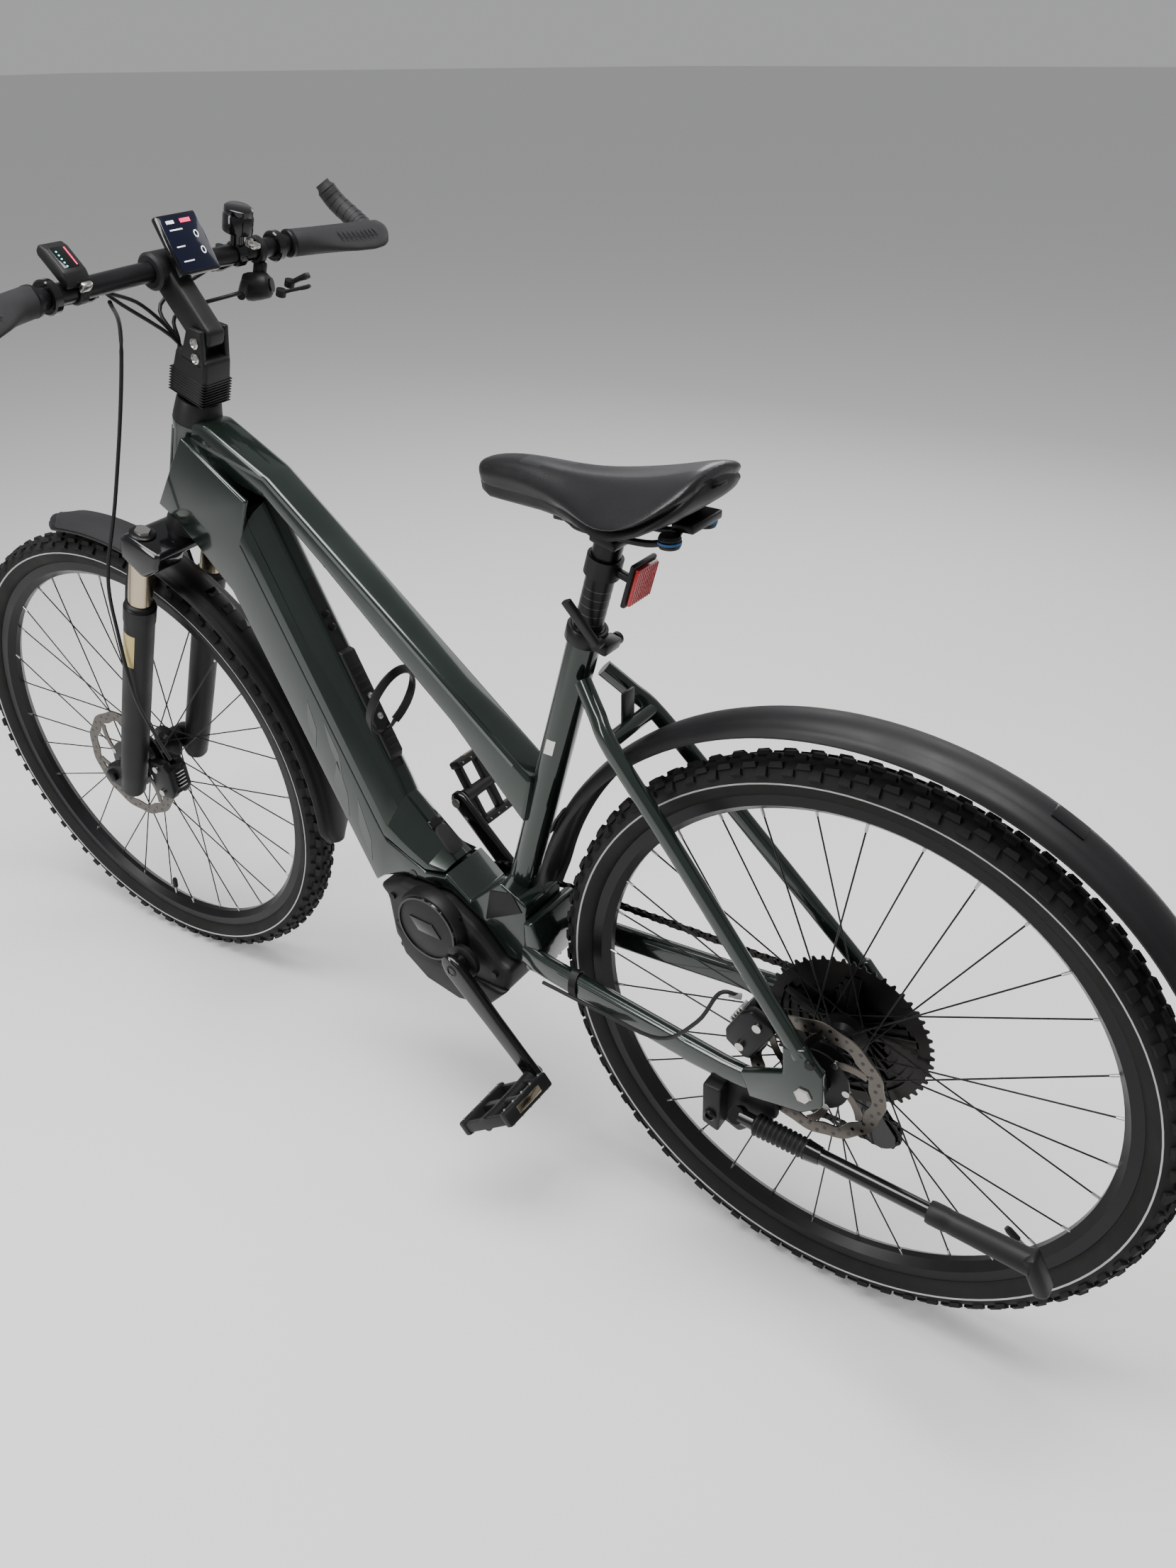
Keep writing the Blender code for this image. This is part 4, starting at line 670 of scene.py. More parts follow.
def rear_stays():
    """Chain stays, seat stays with their bridge, yoke and dropouts."""
    shapes = []
    for side in (1, -1):
        tall = rounded((0.0085, 0.0165), 0.0075)
        front = [(0.398, side * 0.040, 0.333), (0.360, side * 0.0480, 0.331), (0.250, side * 0.0590, 0.331),
                 (0.146, side * 0.0705, 0.331)]
        shapes.append(sweep(smooth_route(front, 4), tall))
        shapes.append(loft([[Vector((x, side * y + a * w, z + b * h))
                             for a, b in rounded((0.0085, 0.0165), 0.0075)]
                            for x, y, z, w, h in ((0.150, 0.0705, 0.331, 1.05, 1.05),
                                                  (0.100, 0.0760, 0.333, 1.0, 0.95),
                                                  (0.040, 0.0815, 0.340, 0.8, 0.75))]))
        upper = smooth_route([(0.322, side * 0.020, 0.725), (0.296, side * 0.0330, 0.700),
                              (0.268, side * 0.0460, 0.672), (0.180, side * 0.0580, 0.582),
                              (0.010, side * 0.0815, 0.404)], 5)
        shapes.append(sweep(upper, rounded((0.0080, 0.0100), 0.0070)))
        plate = [(0.062, 0.318), (0.000, 0.330), (-0.022, 0.350), (-0.018, 0.392), (0.006, 0.418),
                 (0.030, 0.412), (0.026, 0.375), (0.075, 0.350)]
        shapes.append(prism(plate, *sorted((side * 0.0765, side * 0.0885)), 0.003, 3))
    shapes.append(rod((0.274, -0.044, 0.678), (0.274, 0.044, 0.678), 0.0090))
    shapes.append(prism([(0.400, 0.308), (0.400, 0.382), (0.386, 0.386), (0.374, 0.350), (0.378, 0.308)],
                        -0.046, 0.046, 0.004, 3))
    piece("rear_stays", joined(*shapes), PAINT, "frame", replaces=("rear_triangle",), sharp=42)
    piece("bridge_plate", prism([(0.2765, 0.669), (0.2805, 0.669), (0.2805, 0.719), (0.2765, 0.719)],
                                -0.011, 0.011, 0.001, 2), ANODISED, "frame")
    nut = [(0.0000, -0.001), (0.0105, -0.001), (0.0105, 0.0020), (0.0085, 0.0035), (0.0, 0.0035)]
    piece("left_axle_nut", turned(nut, (0, 0.0885, TYRE_R), (0, 1, 0), 6), STEEL, "frame")
    piece("right_axle_nut", turned(nut, (0, -0.0880, TYRE_R), (0, -1, 0), 24), ANODISED, "frame")
    bolt = [(0.0, 0.0), (0.0062, 0.0), (0.0062, 0.0022), (0.0048, 0.0034), (0.0, 0.0034)]
    piece("left_dropout_bolt", turned(bolt, (-0.003, 0.0885, 0.404), (0, 1, 0), 20), ANODISED, "frame")
    piece("derailleur_hanger", prism([(0.020, 0.3400), (-0.014, 0.3400), (-0.020, 0.300), (0.006, 0.296)],
                                     -0.0885, -0.0780, 0.002, 2), ANODISED, "frame")
    ring = [(0.0180, -0.005), (0.0205, -0.005), (0.0205, 0.005), (0.0180, 0.005)]
    sleeve = moved(lathe(ring, 32), Matrix.Translation((0.315, 0.0528, 0.331))
                   @ Matrix.Rotation(math.radians(-86), 4, "Z") @ Matrix.Diagonal((0.62, 1.0, 1.0, 1.0)))
    piece("chain_stay_ring", sleeve, BLACK, "frame")


def motor():
    casing = [(0.624, 0.333), (0.618, 0.270), (0.582, 0.228), (0.522, 0.210), (0.462, 0.224), (0.424, 0.262),
              (0.418, 0.2995), (0.434, 0.3015), (0.474, 0.3415), (0.521, 0.3700), (0.600, 0.3655),
              (0.6385, 0.3465)]
    piece("motor_casing", prism(casing, -0.044, 0.052, 0.010, 4), BLACK, "frame", replaces=("motor_unit",),
          sharp=45)
    cap = [(0.0, 0.0), (0.0530, 0.0), (0.0530, 0.012), (0.0500, 0.0185), (0.0440, 0.0205), (0.0, 0.0212)]
    piece("motor_cap", turned(cap, (0.541, 0.048, 0.325), (0, 1, 0), 72), BLACK, "frame")
    rim = [(0.0440, 0.0200), (0.0480, 0.0200), (0.0474, 0.0222), (0.0446, 0.0222)]
    piece("motor_cap_rim", moved(lathe(rim, 72), Matrix.Translation((0.541, 0.048, 0.325))), GLOSS, "frame")
    badge = [(0.516, 0.318), (0.554, 0.318), (0.568, 0.337), (0.530, 0.337)]
    piece("motor_badge", prism(badge, 0.0680, 0.0705, 0.0008, 2), GLOSS, "frame")
    skid = [(0.612, 0.300), (0.598, 0.250), (0.560, 0.222), (0.505, 0.212), (0.455, 0.226), (0.424, 0.262),
            (0.470, 0.262), (0.520, 0.262)]
    piece("skid_cover", prism(skid, 0.040, 0.0585, 0.006, 4), BLACK, "frame", sharp=45)
    bearing = [(0.0, 0.0), (0.0240, 0.0), (0.0240, 0.006), (0.0205, 0.0080), (0.0, 0.0080)]
    piece("spindle_cover", turned(bearing, (BB.x, 0.0640, BB.z), (0, 1, 0), 48), BLACK, "frame")
    bolts = [turned([(0.0, 0.0), (0.0048, 0.0), (0.0048, 0.003), (0.0, 0.003)], (x, 0.0520, z), (0, 1, 0), 16)
             for x, z in ((0.612, 0.338), (0.600, 0.262), (0.444, 0.282), (0.498, 0.350))]
    piece("motor_bolts", joined(*bolts), ANODISED, "frame")


def guard(name, body, where, cad_node, radius, half_width, start, end, crown, flare=0.0):
    """An arched strip round the wheel with shallow grooves along it."""
    across = [(-1.0, -crown), (-0.94, -0.78 * crown), (-0.80, -0.50 * crown), (-0.70, -0.42 * crown - 0.0011),
              (-0.62, -0.30 * crown), (-0.30, -0.06 * crown), (0.0, 0.0), (0.30, -0.06 * crown),
              (0.62, -0.30 * crown), (0.70, -0.42 * crown - 0.0011), (0.80, -0.50 * crown),
              (0.94, -0.78 * crown), (1.0, -crown)]
    rings, steps = [], 72
    for step in range(steps + 1):
        share = step / steps
        angle = math.radians(start + (end - start) * share)
        widen = 1.0 + flare * max(0.0, share - 0.82) / 0.18
        close = min(1.0, 0.55 + 14 * share, 0.55 + 14 * (1 - share))
        outer = [(radius + drop, half_width * part * min(1.0, close) * widen) for part, drop in across]
        inner = [(level - 0.0022, y * 0.97) for level, y in reversed(outer)]
        rings.append([(r * math.cos(angle), y, r * math.sin(angle)) for r, y in outer + inner])
    return piece(name, loft(rings), BLACK, body, where, (cad_node,), 50)


def guard_details():
    def on_guard(radius, degrees, across):
        angle = math.radians(degrees)
        return Vector((radius * math.cos(angle), across, radius * math.sin(angle)))

    badge_angle = math.radians(116)
    turn = Matrix.Rotation(-badge_angle, 4, "Y")
    badge = box((0.0020, 0.020, 0.034), (0.4045, 0, 0), bevel=0.0006)
    piece("rear_guard_badge", moved(badge, turn), GLOSS, "frame", REAR_AXLE)
    for name, low, high in (("rear_guard_brace", 24, 30),):
        arm = sweep([on_guard(0.400, low, 0.026), on_guard(0.401, (low + high) / 2, 0.026),
                     on_guard(0.400, high, 0.026)], rounded((0.004, 0.0016), 0.0012))
        piece(name, arm, BLACK, "frame", REAR_AXLE)
    pockets = []
    for degrees in (104, 108.5, 113):
        angle = math.radians(degrees)
        pockets.append(moved(box((0.0016, 0.020, 0.0130), (0.3842, 0, 0), bevel=0.0005),
                             Matrix.Rotation(-angle, 4, "Y")))
    piece("front_guard_pockets", joined(*pockets), GLOSS, "fork_lowers", FRONT_AXLE)
    rings = []
    for step in range(25):
        share = step / 24
        angle = math.radians(60 + 30 * share)
        close = min(1.0, 0.40 + 6 * share, 1.0)
        rings.append([(r * math.cos(angle), y * close, r * math.sin(angle)) for r, y in
                      [(0.3752, -0.0302), (0.3835, -0.0210), (0.3868, 0.0), (0.3835, 0.0210),
                       (0.3752, 0.0302), (0.3735, 0.0290), (0.3815, 0.0200), (0.3847, 0.0),
                       (0.3815, -0.0200), (0.3735, -0.0290)]])
    piece("front_guard_flap", loft(rings), GRIP, "fork_lowers", FRONT_AXLE, sharp=50)


def rear_caliper_piece(name, body, where, axle, reach, across, cad_node):
    location = (axle[0] + reach[0], across, axle[1] + reach[1])
    turn = Matrix.Rotation(math.atan2(*reach), 4, "Y")
    place = where @ Matrix.Translation(location) @ turn
    body_shape = prism([(-0.033, -0.014), (-0.028, -0.020), (0.028, -0.020), (0.033, -0.014), (0.030, 0.014),
                        (0.018, 0.0215), (-0.018, 0.0215), (-0.030, 0.014)], 0.0050, 0.0190, 0.003, 3)
    inner = prism([(-0.033, -0.014), (-0.028, -0.020), (0.028, -0.020), (0.033, -0.014), (0.030, 0.014),
                   (0.018, 0.0215), (-0.018, 0.0215), (-0.030, 0.014)], -0.0172, -0.0050, 0.003, 3)
    bridge = box((0.046, 0.0240, 0.0090), (0, 0.0004, 0.0165), bevel=0.002)
    made = piece(name, joined(body_shape, inner, bridge), ANODISED, body, place, (cad_node,), 40)
    bolts = [turned([(0.0, 0.0), (0.0052, 0.0), (0.0052, 0.004), (0.0030, 0.0042), (0.0, 0.0030)],
                    (x, 0.0188, -0.002), (0, 1, 0), 18) for x in (-0.020, 0.020)]
    piece(name + "_bolts", joined(*bolts), STEEL, body, place)
    fins = [box((0.0020, 0.0140, 0.0060), (x, 0.0005, 0.0225), bevel=0.0004)
            for x in (-0.012, -0.006, 0.0, 0.006, 0.012)]
    piece(name + "_fins", joined(*fins), STEEL, body, place)
    return made


# ---- battery ------------------------------------------------------------------------------
COVER_WIDTHS = ((0.0, 0.0366), (0.05, 0.0366), (0.24, 0.0350), (0.30, 0.0336), (0.74, 0.0228), (0.80, 0.0205),
                (0.93, 0.0135), (0.975, 0.0105), (1.0, 0.0070))


def cover_ring(base, top, spread=1.0):
    """A faceted section from one seam over the top to the other seam."""
    base, top = Vector((base[0], 0, base[-1])), Vector((top[0], 0, top[-1]))
    right, left = [], []
    for share, half in COVER_WIDTHS:
        middle = base.lerp(top, share)
        right.append((middle.x, -half * spread, middle.z))
        left.append((middle.x, half * spread, middle.z))
    return right + left[::-1]


def battery():
    rings = [
        cover_ring(down_point(0.484, 0.0590), down_point(0.502, 0.0890), 0.97),
        cover_ring(down_point(0.476, 0.0590), (0.7925, 0, 0.8325)),
        cover_ring(down_point(0.440, 0.0590), down_point(0.440, 0.1035)),
        cover_ring(down_point(0.300, 0.0590), down_point(0.300, 0.1050)),
        cover_ring(down_point(0.110, 0.0590), down_point(0.125, 0.1060)),
        cover_ring((0.6310, 0, 0.4200), (0.6090, 0, 0.4760)),
        cover_ring((0.6150, 0, 0.4135), (0.5950, 0, 0.4640)),
        cover_ring((0.5900, 0, 0.4015), (0.5700, 0, 0.4405), 0.99),
        cover_ring((0.5642, 0, 0.3915), (0.5480, 0, 0.4200), 0.97),
        cover_ring((0.5330, 0, 0.3975), (0.5305, 0, 0.4035), 0.90),
    ]
    cover = piece("battery_lid", loft(rings), PAINT, "battery", replaces=("battery_cover",), sharp=14)
    cover.data.materials.append(SATIN_PAINT)
    for face in cover.data.polygons:
        centre = face.center
        if abs(centre.y) < 0.0165 and centre.z > 0.47 and len(face.vertices) == 4:
            face.material_index = 1
    room = down_outline((0.118, 0.050), (0.500, 0.050), (0.500, 0.0805), (0.118, 0.0805))
    hollow(cover, prism(room, -0.0295, 0.0295), BIKE)
    groove = down_outline((0.140, 0.1045), (0.400, 0.1035), (0.400, 0.1250), (0.140, 0.1250))
    hollow(cover, prism(groove, -0.0075, 0.0075), BIKE)
    floor = down_outline((0.140, 0.1035), (0.400, 0.1025), (0.400, 0.1038), (0.140, 0.1048))
    piece("cover_groove", prism(floor, -0.0072, 0.0072), BLACK, "battery")
    pack = down_outline((0.128, 0.016), (0.460, 0.016), (0.510, 0.040), (0.510, 0.070), (0.128, 0.078))
    piece("battery_case", prism(pack, -0.029, 0.029, 0.005, 3), BLACK, "battery", replaces=("battery_pack",))
    bolt = [(0.0, 0.0), (0.0042, 0.0), (0.0042, 0.0022), (0.0030, 0.0030), (0.0, 0.0030)]
    bolts = [turned(bolt, down_point(along, 0.1052), DOWN_OUT, 18) for along in (0.335, 0.352)]
    piece("cover_bosses", joined(*bolts), ANODISED, "battery")


def bottle_cage():
    plate = down_outline((0.150, 0.1063), (0.305, 0.1059), (0.300, 0.1130), (0.158, 0.1130))
    backing = prism(plate, -0.0115, 0.0115, 0.0020, 3)
    ribs = [prism(down_outline((low, 0.1125), (low + 0.0042, 0.1125), (low + 0.0042, 0.1144), (low, 0.1144)),
                  -0.0085, 0.0085, 0.0006, 2)
            for low in (0.166, 0.176, 0.186, 0.246, 0.256, 0.266, 0.276)]
    strap = []
    for step in range(33):
        angle = math.radians(-152 + 304 * step / 32)
        lift = 0.033 * math.cos(angle)
        strap.append(down_point(0.225 + lift, 0.147 + 0.036 * math.cos(angle), 0.038 * math.sin(angle)))
    rings = []
    for i, point in enumerate(strap):
        run = run_at(strap, i)
        centre = down_point(0.225 + 0.033 * math.cos(math.radians(-152 + 304 * i / 32)), 0.147)
        out = point - centre
        out = (out - run * out.dot(run)).normalized()
        wide = run.cross(out)
        rings.append([point + wide * a + out * b for a, b in rounded((0.0056, 0.0019), 0.0017)])
    feet = [sweep([down_point(0.191, 0.1100, side * 0.0035), down_point(0.192, 0.1140, side * 0.0100),
                   strap[end]],
                  rounded((0.0034, 0.0018), 0.0016)) for side, end in ((1, -1), (-1, 0))]
    piece("bottle_holder", joined(backing, loft(rings), *ribs, *feet), BLACK, "battery",
          replaces=("bottle_cage",), sharp=40)
    bolt = [(0.0, 0.0), (0.0045, 0.0), (0.0045, 0.0020), (0.0024, 0.0024), (0.0, 0.0012)]
    bolts = [turned(bolt, down_point(along, 0.1128), DOWN_OUT, 6 if along < 0.2 else 18)
             for along in (0.2100, 0.2380)]
    piece("bottle_holder_bolts", joined(*bolts), STEEL, "battery")


def charge_flap():
    knee = down_point(0.100, 0.106)
    toe = Vector((0.5300, 0, 0.4030))
    run = (toe - knee).normalized()
    normal = Vector((run.z, 0, -run.x))
    if normal.z < 0:
        normal = -normal
    outline = ((-0.0160, 0.0), (-0.0150, 0.0060), (-0.0100, 0.0105), (0.0060, 0.0120), (0.0200, 0.0135),
               (0.0255, 0.0100), (0.0265, 0.0))
    ring = [*outline, *[(a, -b) for a, b in outline[-2:0:-1]]]
    middle = knee + run * 0.0690
    lift = -0.0015
    shape = loft([[middle + run * a * s + normal * (lift + h) + Vector((0, b * s, 0)) for a, b in ring]
                  for h, s in ((0.0, 1.0), (0.0030, 1.0), (0.0042, 0.93))])
    piece("charging_lid", shape, GRIP, "charge_flap", replaces=("charge_port_flap",), sharp=40)
    slot_at = knee + run * 0.0470 + normal * 0.0004
    turn = Matrix((run, Vector((0, 1, 0)), normal)).transposed()
    piece("charging_hinge", box((0.0110, 0.0240, 0.0050), slot_at, turn, 0.0012), GLOSS, "battery")


# ---- saddle and seatpost ------------------------------------------------------------------
SADDLE_TABLE = ((-0.1045, 0.040, 0.067, 0.018, 0.004), (-0.100, 0.062, 0.0680, 0.026, 0.008),
                (-0.088, 0.0765, 0.0670, 0.033, 0.016), (-0.068, 0.0845, 0.0620, 0.036, 0.026),
                (-0.045, 0.0860, 0.0565, 0.037, 0.030), (-0.020, 0.0770, 0.0515, 0.0390, 0.028),
                (0.005, 0.0620, 0.0475, 0.040, 0.022), (0.030, 0.0470, 0.0445, 0.040, 0.014),
                (0.055, 0.0360, 0.0435, 0.040, 0.008), (0.082, 0.0290, 0.0435, 0.040, 0.003),
                (0.110, 0.0240, 0.0430, 0.040, 0.0), (0.135, 0.0215, 0.0405, 0.037, 0.0),
                (0.152, 0.0190, 0.0370, 0.033, 0.0), (0.162, 0.0140, 0.0330, 0.025, 0.0),
                (0.1665, 0.0070, 0.0290, 0.015, 0.0))


def saddle_section(along, half, top, drop, sag, dip):
    """One ring of the padding: crowned wings either side of a sunken middle."""
    shape = []
    for step in range(40):
        angle = math.tau * step / 40
        w = math.copysign(abs(math.sin(angle)) ** 0.72, math.sin(angle))
        h = math.copysign(abs(math.cos(angle)) ** 0.80, math.cos(angle))
        lift = top - drop * 0.5 + drop * 0.5 * h - sag * w * w * (0.6 + 0.4 * h)
        if h > 0:
            lift -= dip * math.exp(-(w * half / 0.0105) ** 2)
        shape.append((along, half * w * (1.0 if h > -0.2 else 0.94), lift))
    return shape


def saddle_padding(shrink=0.0, lower=0.0):
    rings = []
    for along, half, top, drop, sag in SADDLE_TABLE:
        share = max(0.0, 1 - ((along - 0.005) / 0.095) ** 2)
        rings.append(saddle_section(along, half - shrink, top - lower, drop, sag, 0.0052 * share ** 0.6))
    return loft(rings)


def saddle():
    cushion = piece("saddle_padding", saddle_padding(), VINYL, "saddle", SADDLE_FRAME,
                    replaces=("saddle_cushion",), sharp=80, subdivide=1)
    cushion.data.materials.append(GLOSS_VINYL)
    for face in cushion.data.polygons:
        local = SADDLE_FRAME.inverted() @ face.center
        edge = 0.014 + 0.010 * max(0.0, -local.x / 0.1)
        if abs(local.y) < edge and local.z > 0.030 and local.x < 0.115:
            face.material_index = 1
    seams = []
    for side in (1, -1):
        line = []
        for along, half, top, drop, sag in SADDLE_TABLE[2:13]:
            w = 0.86
            h = (1 - w ** 2.5) ** 0.5
            line.append((along, side * half * w * 0.985, top - drop * 0.5 + drop * 0.5 * h * 0.95
                         - sag * w * w * (0.6 + 0.4 * h)))
        seams.append(line)
    for side, line in zip(("left", "right"), seams):
        cable(f"saddle_piping_{side}", line, 0.0011, BLACK, "saddle", SADDLE_FRAME)
    base = piece("saddle_base", saddle_padding(0.0035, 0.0095), BLACK, "saddle", SADDLE_FRAME,
                 replaces=("saddle_shell",), sharp=60)
    base.data.update()
    shapes = [prism([(-0.013, -0.0082), (0.013, -0.0082), (0.013, -0.0010), (-0.013, -0.0010)], -0.025,
                    0.025, 0.002, 2),
              box((0.022, 0.030, 0.008), (0.058, 0, -0.0065), bevel=0.002),
              box((0.024, 0.056, 0.009), (-0.087, 0, 0.0145), bevel=0.002)]
    for side in (1, -1):
        run = smooth_route([(0.060, side * 0.010, -0.0060), (0.045, side * 0.018, -0.0070),
                            (0.026, side * 0.0215, -0.0105), (-0.045, side * 0.0215, -0.0105),
                            (-0.075, side * 0.024, 0.002), (-0.084, side * 0.024, 0.012)], 6)
        shapes.append(sweep(run, [(0.0036 * math.cos(a), 0.0036 * math.sin(a))
                                  for a in (math.tau * i / 16 for i in range(16))]))
    piece("saddle_rails", joined(*shapes), ANODISED, "saddle", SADDLE_FRAME, replaces=("saddle_frame",),
          sharp=45)
    damper = [(0.0, 0.0), (0.0100, 0.0), (0.0112, 0.0030), (0.0100, 0.0060), (0.0112, 0.0090),
              (0.0100, 0.0120), (0.0, 0.0120)]
    piece("saddle_dampers", joined(*[turned(damper, (-0.078, side * 0.034, -0.0035), (0, 0, 1), 28)
                                     for side in (1, -1)]), BLACK, "saddle", SADDLE_FRAME)
    band = [(0.0100, 0.0), (0.0116, 0.0), (0.0116, 0.0024), (0.0100, 0.0024)]
    rings = [moved(lathe(band, 28), Matrix.Translation((-0.078, side * 0.034, 0.0005))
                   @ UPRIGHT) for side in (1, -1)]
    piece("saddle_damper_rings", joined(*rings), BLUE, "saddle", SADDLE_FRAME)
    tab = [(-0.104, 0.048), (-0.104, 0.052), (-0.114, 0.0560), (-0.114, 0.0530)]
    piece("saddle_pull_tab", prism(tab, -0.006, 0.006, 0.0006, 2), BLACK, "saddle", SADDLE_FRAME)


def seatpost():
    tube = [(0.0153, -0.170), (0.0154, 0.088), (0.0154, 0.112)]
    piece("seatpost_tube", turned(tube, (0, 0, 0), (0, 0, 1), 48), ANODISED, "seatpost", SEAT_FRAME,
          replaces=("seatpost",))
    head = prism([(-0.015, 0.1085), (0.015, 0.1085), (0.016, 0.1150), (0.013, 0.1200), (-0.013, 0.1200),
                  (-0.016, 0.1150)], -0.0165, 0.0165, 0.0025, 3)
    piece("seatpost_head", head, ANODISED, "seatpost", SEAT_FRAME)
    marks = [moved(lathe([(0.0153, -0.0003), (0.01555, -0.0003), (0.01555, 0.0003), (0.0153, 0.0003)], 40),
                   Matrix.Translation((0, 0, 0.008 + 0.010 * i)) @ UPRIGHT)
             for i in range(6)]
    piece("seatpost_marks", joined(*marks), SHARD, "seatpost", SEAT_FRAME)
    clamp = moved(lathe([(0.0158, -0.011), (0.0192, -0.0105), (0.0192, 0.0105), (0.0158, 0.011)], 40),
                  Matrix.Translation((0, 0, 0.0830)) @ UPRIGHT)
    arm = box((0.026, 0.008, 0.008), (-0.030, 0, 0.0830), bevel=0.0015)
    piece("reflector_clamp", joined(clamp, arm), BLACK, "seatpost", SEAT_FRAME)
    shell = box((0.0060, 0.044, 0.049), (-0.0420, 0, 0.0860), bevel=0.0026)
    piece("reflector_shell", shell, BLACK, "seatpost", SEAT_FRAME)
    lens = box((0.0050, 0.038, 0.043), (-0.0465, 0, 0.0860), bevel=0.0022)
    ribs = [rod((-0.0489, -0.018 + 0.004 * i, 0.067), (-0.0489, -0.018 + 0.004 * i, 0.105), 0.0009, sides=10)
            for i in range(10)]
    piece("reflector_lens", joined(lens, *ribs), RED, "seatpost", SEAT_FRAME, replaces=("reflector",))


def seat_clamp():
    collar = moved(lathe([(0.0188, -0.009), (0.0216, -0.009), (0.0226, -0.0075), (0.0226, 0.0075),
                          (0.0216, 0.009), (0.0188, 0.009)], 48), UPRIGHT)
    ears = box((0.016, 0.030, 0.0135), (-0.0275, 0, 0), bevel=0.003)
    piece("seat_clamp", joined(collar, ears), ANODISED, "frame", SEAT_FRAME, replaces=("seat_collar",))
    nut = turned([(0.0, 0.0), (0.0072, 0.0), (0.0072, 0.005), (0.0050, 0.0072), (0.0, 0.0072)],
                 (-0.0275, -0.0150, 0), (0, -1, 0), 24)
    piece("seat_clamp_nut", nut, ANODISED, "frame", SEAT_FRAME)
    pivot = seat_point(0.346, 0.0215, 0.0262)
    arm = smooth_route([(0, 0, 0), (0.004, 0.006, 0.012), (0.012, 0.016, 0.034), (0.020, 0.0235, 0.052)], 5)
    lever = sweep([pivot + point for point in arm], rounded((0.0036, 0.0056), 0.0028))
    barrel = rod(pivot + Vector((0, -0.006, 0)), pivot + Vector((0, 0.003, 0)), 0.0065)
    piece("seat_lever_arm", joined(lever, barrel), ANODISED, "seat_lever", replaces=("seat_quick_release",))


# ---- drive --------------------------------------------------------------------------------
def toothed(radius, root, teeth, low, high, bore):
    """A flat ring with teeth, about the Y axis."""
    shape = []
    for i in range(teeth):
        for part, r in ((0.0, root), (0.22, root), (0.40, radius), (0.60, radius), (0.78, root)):
            angle = math.tau * (i + part) / teeth
            shape.append((r * math.cos(angle), r * math.sin(angle)))
    rings = []
    for x, z in shape:
        angle = math.atan2(z, x)
        inner = (bore * math.cos(angle), bore * math.sin(angle))
        rings.append([(x, low, z), (x, high, z), (inner[0], high, inner[1]), (inner[0], low, inner[1])])
    return loft(rings, closed=True)


def crank_arms():
    names = {1: ("left_crank_arm", "left_crank"), -1: ("right_crank_arm", "right_crank")}
    for side, (name, node) in names.items():
        reach = -side * CRANK
        rings = []
        for x, half, thick in ((-0.020, 0.006, 0.004), (-0.014, 0.012, 0.0060), (0.0, 0.0162, 0.0068),
                               (0.030, 0.0158, 0.0070), (0.085, 0.0135, 0.0070), (0.145, 0.0128, 0.0068),
                               (0.170, 0.0135, 0.0066), (0.1785, 0.0110, 0.0060), (0.1835, 0.0050, 0.0040)):
            along = x * (1 if reach > 0 else -1)
            rings.append([(along, side * 0.0855 + a, b)
                          for a, b in rounded((thick, half), min(thick, half) * 0.85)])
        boss = rod((0, side * 0.0735, 0), (0, side * 0.0905, 0), 0.0150)
        shapes = [loft(rings), boss]
        if side < 0:
            shapes.append(rod((0, -0.0515, 0), (0, -0.0760, 0), 0.0098))
        piece(name, joined(*shapes), GLOSS, "crank", CRANK_FRAME, replaces=(node,), sharp=45)
        bolt = [(0.0, 0.0), (0.0082, 0.0), (0.0082, 0.0022), (0.0058, 0.0030), (0.0050, 0.0014),
                (0.0, 0.0014)]
        piece(name + "_bolt", turned(bolt, (0, side * 0.0903, 0), (0, side, 0), 24), ANODISED, "crank",
              CRANK_FRAME)
        piece(name + "_eye", turned([(0.0, 0.0), (0.0070, 0.0), (0.0070, 0.0016), (0.0, 0.0016)],
                                    (reach, side * 0.0765, 0), (0, -side, 0), 20), STEEL, "crank",
              CRANK_FRAME)
    ring = toothed(CHAINRING_R + 0.0030, CHAINRING_R - 0.0050, 38, -0.0530, -0.0500, 0.0600)
    guard_ring = lathe([(0.0620, -0.0545), (CHAINRING_R + 0.0010, -0.0545), (CHAINRING_R + 0.0010, -0.0560),
                        (0.0620, -0.0560)], 96)
    arms = []
    for i in range(4):
        angle = math.tau * i / 4 + 0.5
        arms.append(sweep([(r * math.cos(angle + 0.12 * k), -0.0555 - 0.006 * (1 - k),
                            r * math.sin(angle + 0.12 * k))
                           for k, r in ((0.0, 0.018), (0.5, 0.040), (1.0, 0.064))],
                          rounded((0.0022, 0.0090), 0.0020)))
    hub = lathe([(0.0102, -0.0510), (0.0255, -0.0510), (0.0255, -0.0560), (0.0200, -0.0700),
                 (0.0102, -0.0725)], 48)
    piece("chainring_teeth", joined(ring, guard_ring, *arms, hub), ANODISED, "crank", CRANK_FRAME,
          replaces=("chainring",), sharp=35)


